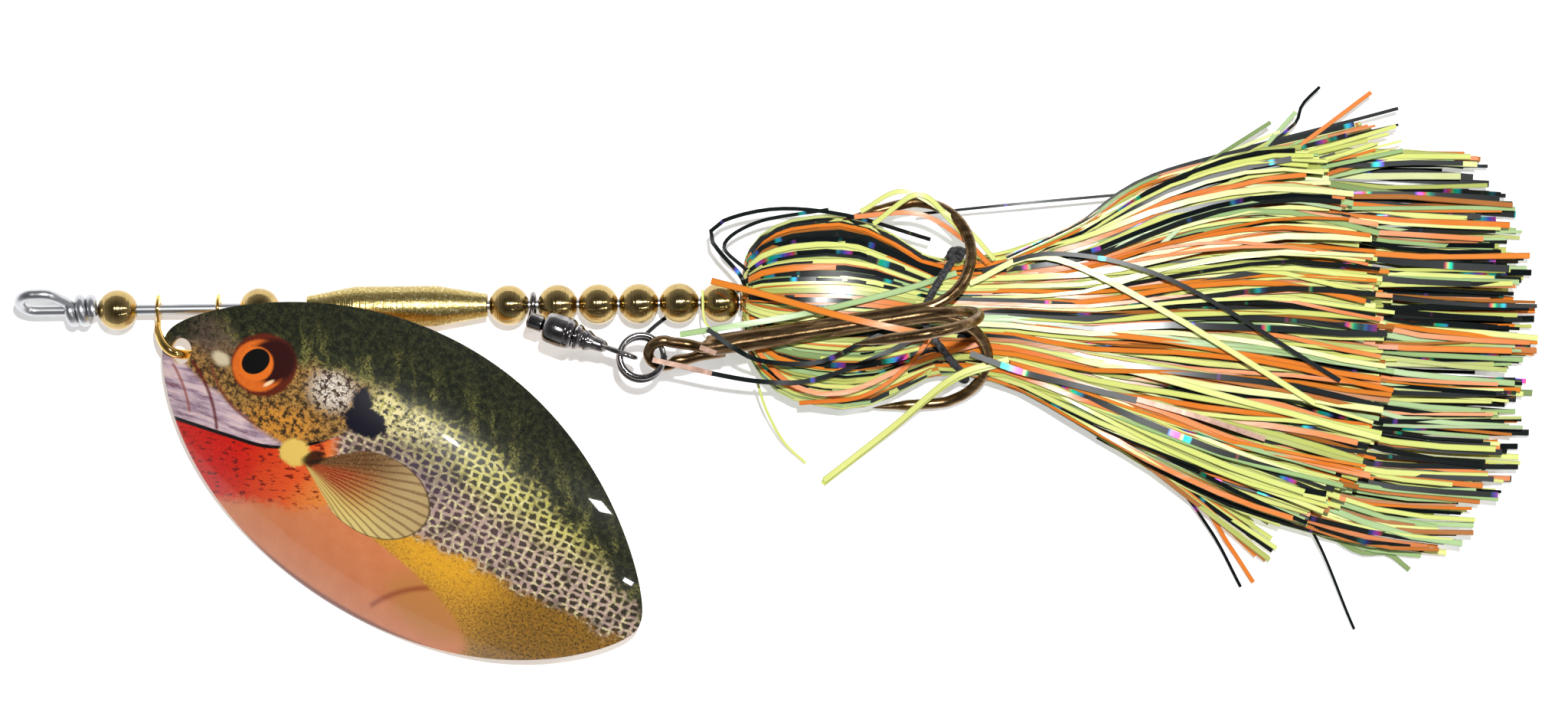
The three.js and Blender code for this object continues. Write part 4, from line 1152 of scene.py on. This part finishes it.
TUFT_COUNT = 14
SPRAY_COUNT = 64
strays = [
    loose([(22, 13.6, -0.5), (38, 15.0, 1.0), (55.9, 16.4, 0.5)], BLACK, 0.45, 0.3),
    loose([(62, 15.0, 1.0), (80, 25.6, 0.5), (83.1, 30.2, -0.5), (86.0, 33.0, -1.5)], BLACK, 0.5, 0.2),
    loose([(64, 12.0, 2.0), (80, 22.0, 1.5), (94, 32.0, -0.5)], ORANGE, 0.7, 0.5),
    loose([(60, 8.0, 2.5), (72, 18.5, 2.0), (82, 29.0, 0.0)], SAGE, 0.7, 0.8),
    loose([(70, -25.0, 0.0), (82.5, -35.0, -1.5), (90.7, -53.0, -4.0)], BLACK, 0.45, 0.3),
    loose([(50, -22.0, -1.0), (61.3, -28.7, -2.0), (68.0, -37.0, -3.5), (72.8, -46.1, -4.5)],
          BLACK, 0.5, 0.1),
    loose([(52, -22.0, -0.5), (65.5, -31.8, -2.0), (71, -39.5, -3.5), (74.8, -45.4, -4.4)], ORANGE, 0.7, 0.4),
    loose([(74, -28.0, -1.0), (83.1, -35.0, -2.0), (91, -40.5, -3.0), (96, -41.0, -3.5), (99.6, -43.7, -4.2)],
          SAGE, 0.8, 0.1),
    loose([(36, -9.5, 3.2), (27.4, -12.2, 2.4), (17.5, -20.2, -1.5), (6.8, -28.4, -4.0)],
          CHARTREUSE, 1.0, 0.9),
    loose([(36, -9.9, 2.9), (27.2, -12.8, 2.0), (17.0, -20.9, -2.2), (6.6, -28.9, -4.5)],
          CHARTREUSE, 0.9, 0.3),
    loose([(-10.6, 3.4, 3.6), (-3, 1.3, 6.8), (8, -2.0, 10.8), (16, -4.0, 12.0),
           (23.5, -5.6, 11.6)], ORANGE, 1.05, 0.9),
    loose([(-15.5, -5.0, 8.3), (-8, -3.9, 9.2), (3.9, -2.0, 8.6), (18, 1.2, 5.4), (28, 4.2, 3.0)],
          SAGE, 0.95, 0.9),
    loose([(-11.2, -4.2, 9.3), (-6.5, -7.6, 9.4), (-2.2, -9.4, 7.8), (6, -9.6, 6.9), (13.5, -6.4, 7.4),
           (24, -2.0, 7.0)], BLACK, 0.75, 0.2),
    loose([(-19.7, -8.9, 9.4), (-9.4, -11.4, 8.0), (-2, -12.6, 6.0), (5.1, -12.4, 6.0), (14, -9.4, 6.6),
           (23, -5.2, 5.8)], BLACK, 0.75, 0.4),
    loose([(-5.4, 1.6, 2.6), (-5.8, 4.0, 4.2), (-10.4, 9.7, 4.2), (-8.8, 12.7, 3.8), (0, 14.6, 3.6),
           (11.1, 13.4, 3.2), (24, 9.5, 2.4)], BLACK, 0.7, 0.3, 0.5),
    loose([(-5.0, 5.0, 3.0), (-8.5, 9.0, 3.4), (-3.0, 12.6, 3.8), (8, 14.4, 3.6)], BLACK, 0.6, 0.6, 0.4),
    loose([(-3.6, -12.4, 3.0), (-2.2, -17.0, 0.5), (0.4, -22.0, -2.5), (3.9, -25.6, -4.4)],
          CHARTREUSE, 0.45, 0.5),
    loose([(-22.1, -5.6, -4.0), (-18.5, -2.6, -3.8), (-14.3, -0.5, -3.6), (-6, 2.0, -3.0)], BLACK, 0.6, 0.5),
    loose([(-12.0, 2.0, 3.4), (-11.6, -3.0, 4.6), (-9.0, -5.4, 5.2)], CHARTREUSE, 0.4, 0.5, 0.9),
    loose([(30, 2.5, 3.8), (42, 6.5, 4.6), (60, -2.0, 5.2), (84, -17.0, 4.2)], CHARTREUSE, 0.95, 0.9),
    loose([(32, 4.5, 3.8), (44, 7.0, 4.9), (62, 2.4, 5.4), (88, -13.5, 4.0)], BLACK, 0.7, 0.6),
    loose([(15, 12.0, 4.4), (22, 16.5, 6.0), (27, 12.5, 5.0), (32, 6.5, 3.6)], CHARTREUSE, 0.85, 0.6),
    loose([(13, 14.0, 3.8), (20, 17.0, 5.4), (29, 11.5, 5.0), (34, 6.2, 3.6)], CHARTREUSE, 0.8, 0.9),
    loose([(12, 13.2, 4.0), (22, 13.5, 5.0), (29, 9.5, 4.4), (33, 5.6, 3.4)], ORANGE, 0.8, 0.4),
    loose([(-4.8, -6.0, 3.6), (1.5, -12.8, 5.4), (10, -14.4, 5.6), (22, -9.6, 4.4), (33, -6.6, 3.6)],
          ORANGE, 0.8, 0.5),
    loose([(3.0, -16.0, 2.4), (13, -15.0, 4.6), (20, -10.4, 5.6), (24.5, -4.8, 6.2)], ORANGE, 0.7, 0.3),
    loose([(30, -8.5, 4.0), (38, -11.5, 4.2), (46, -13.6, 4.0), (56, -16.2, 4.6)], BLACK, 0.95, 0.95),
    loose([(-19.8, -8.9, 9.45), (-14.6, -10.1, 8.95), (-10.6, -11.15, 8.35)], TAN, 0.8),
    loose([(-12.4, -7.0, 8.9), (-9.9, -8.0, 9.2)], TAN, 0.8),
    loose([(56, -16.0, 4.9), (66, -19.0, 5.3), (76, -22.5, 5.2)], TAN, 0.85),
]
for number in range(TUFT_COUNT):
    aside = chance.uniform(-4.5, 2.5)
    strays.append(loose([(38, -12.5 + 0.25 * aside, 0.5), (52, -20.0 + 0.5 * aside, 0.0),
                         (66, -29.5 + 0.8 * aside, -1.5), (76 + chance.gauss(0, 1.2), -37.5 + aside, -3.2)],
                        pick((60, 14, 16, 10)), 0.75, chance.random()))
for number in range(SPRAY_COUNT):
    fan = chance.random()
    end = Vector((chance.uniform(74, 99), 20.5 + 7.5 * fan + chance.gauss(0, 0.8), chance.uniform(-2.5, 1.5)))
    bow = chance.uniform(-1.6, 1.0)
    strays.append(loose([(36, 3.0 + 3.6 * fan, 2.4), (47, 6.6 + 5.0 * fan, 2.2),
                         (60, 12.2 + 7.4 * fan + bow, 1.6), end],
                        pick((46, 18, 24, 12)), chance.uniform(0.35, 0.85), chance.random(),
                        chance.gauss(0, 0.4)))
skirt_pieces("stray_ribbons", strays, [])

# ---- Band: a charcoal loop of braided elastic cord. It is drawn round the skirt's waist and the
# treble's shank and knotted on the upper side.
CORD = 0.6
cord_path = [(27.9, 6.9, 2.6), (25.6, 3.6, 4.2), (23.6, 0.2, 5.6), (22.6, -2.8, 5.9), (24.2, -6.0, 5.3),
             (27.4, -10.0, 2.6), (29.4, -12.2, -0.4), (28.6, -12.4, -2.6), (27.0, -8.0, -4.0),
             (26.0, -1.0, -4.15), (26.4, 5.0, -3.1), (27.4, 7.6, -0.4), (27.6, 7.4, 2.2)]
cord = wire("band_cord", cord_path, CORD, spacing=0.5, sides=4,
            thickness=lambda share: 1.0 + 0.12 * math.sin(share * 190))
knot_path = [(26.9, 6.6, 2.0), (27.4, 7.7, 3.5), (28.8, 7.5, 3.2), (28.4, 6.3, 2.2), (27.0, 6.9, 3.2),
             (28.2, 7.9, 2.4), (29.6, 7.4, 2.4)]
knot = wire("band_knot", knot_path, 0.9 * CORD, spacing=0.4, sides=4)
band = fuse("elastic_band_visual", [cord, knot], 0.14, 2)
elastic, shader, place = begin("braided_elastic")
braid = place.mapped(turn=(0.6, 0.2, 0.7), stretch=(0.0004, 0.0009, 0.0004)).noise(1.0, 3.0)
feed(shader, base_color=braid.step(0.35, 0.7).mix((0.012, 0.012, 0.013), (0.085, 0.085, 0.09)),
     roughness=0.7 + 0.2 * braid, normal=bump(braid, 0.00015, 0.7))
finish_with(band, elastic, "shaft", ["elastic_band"])

deselect()
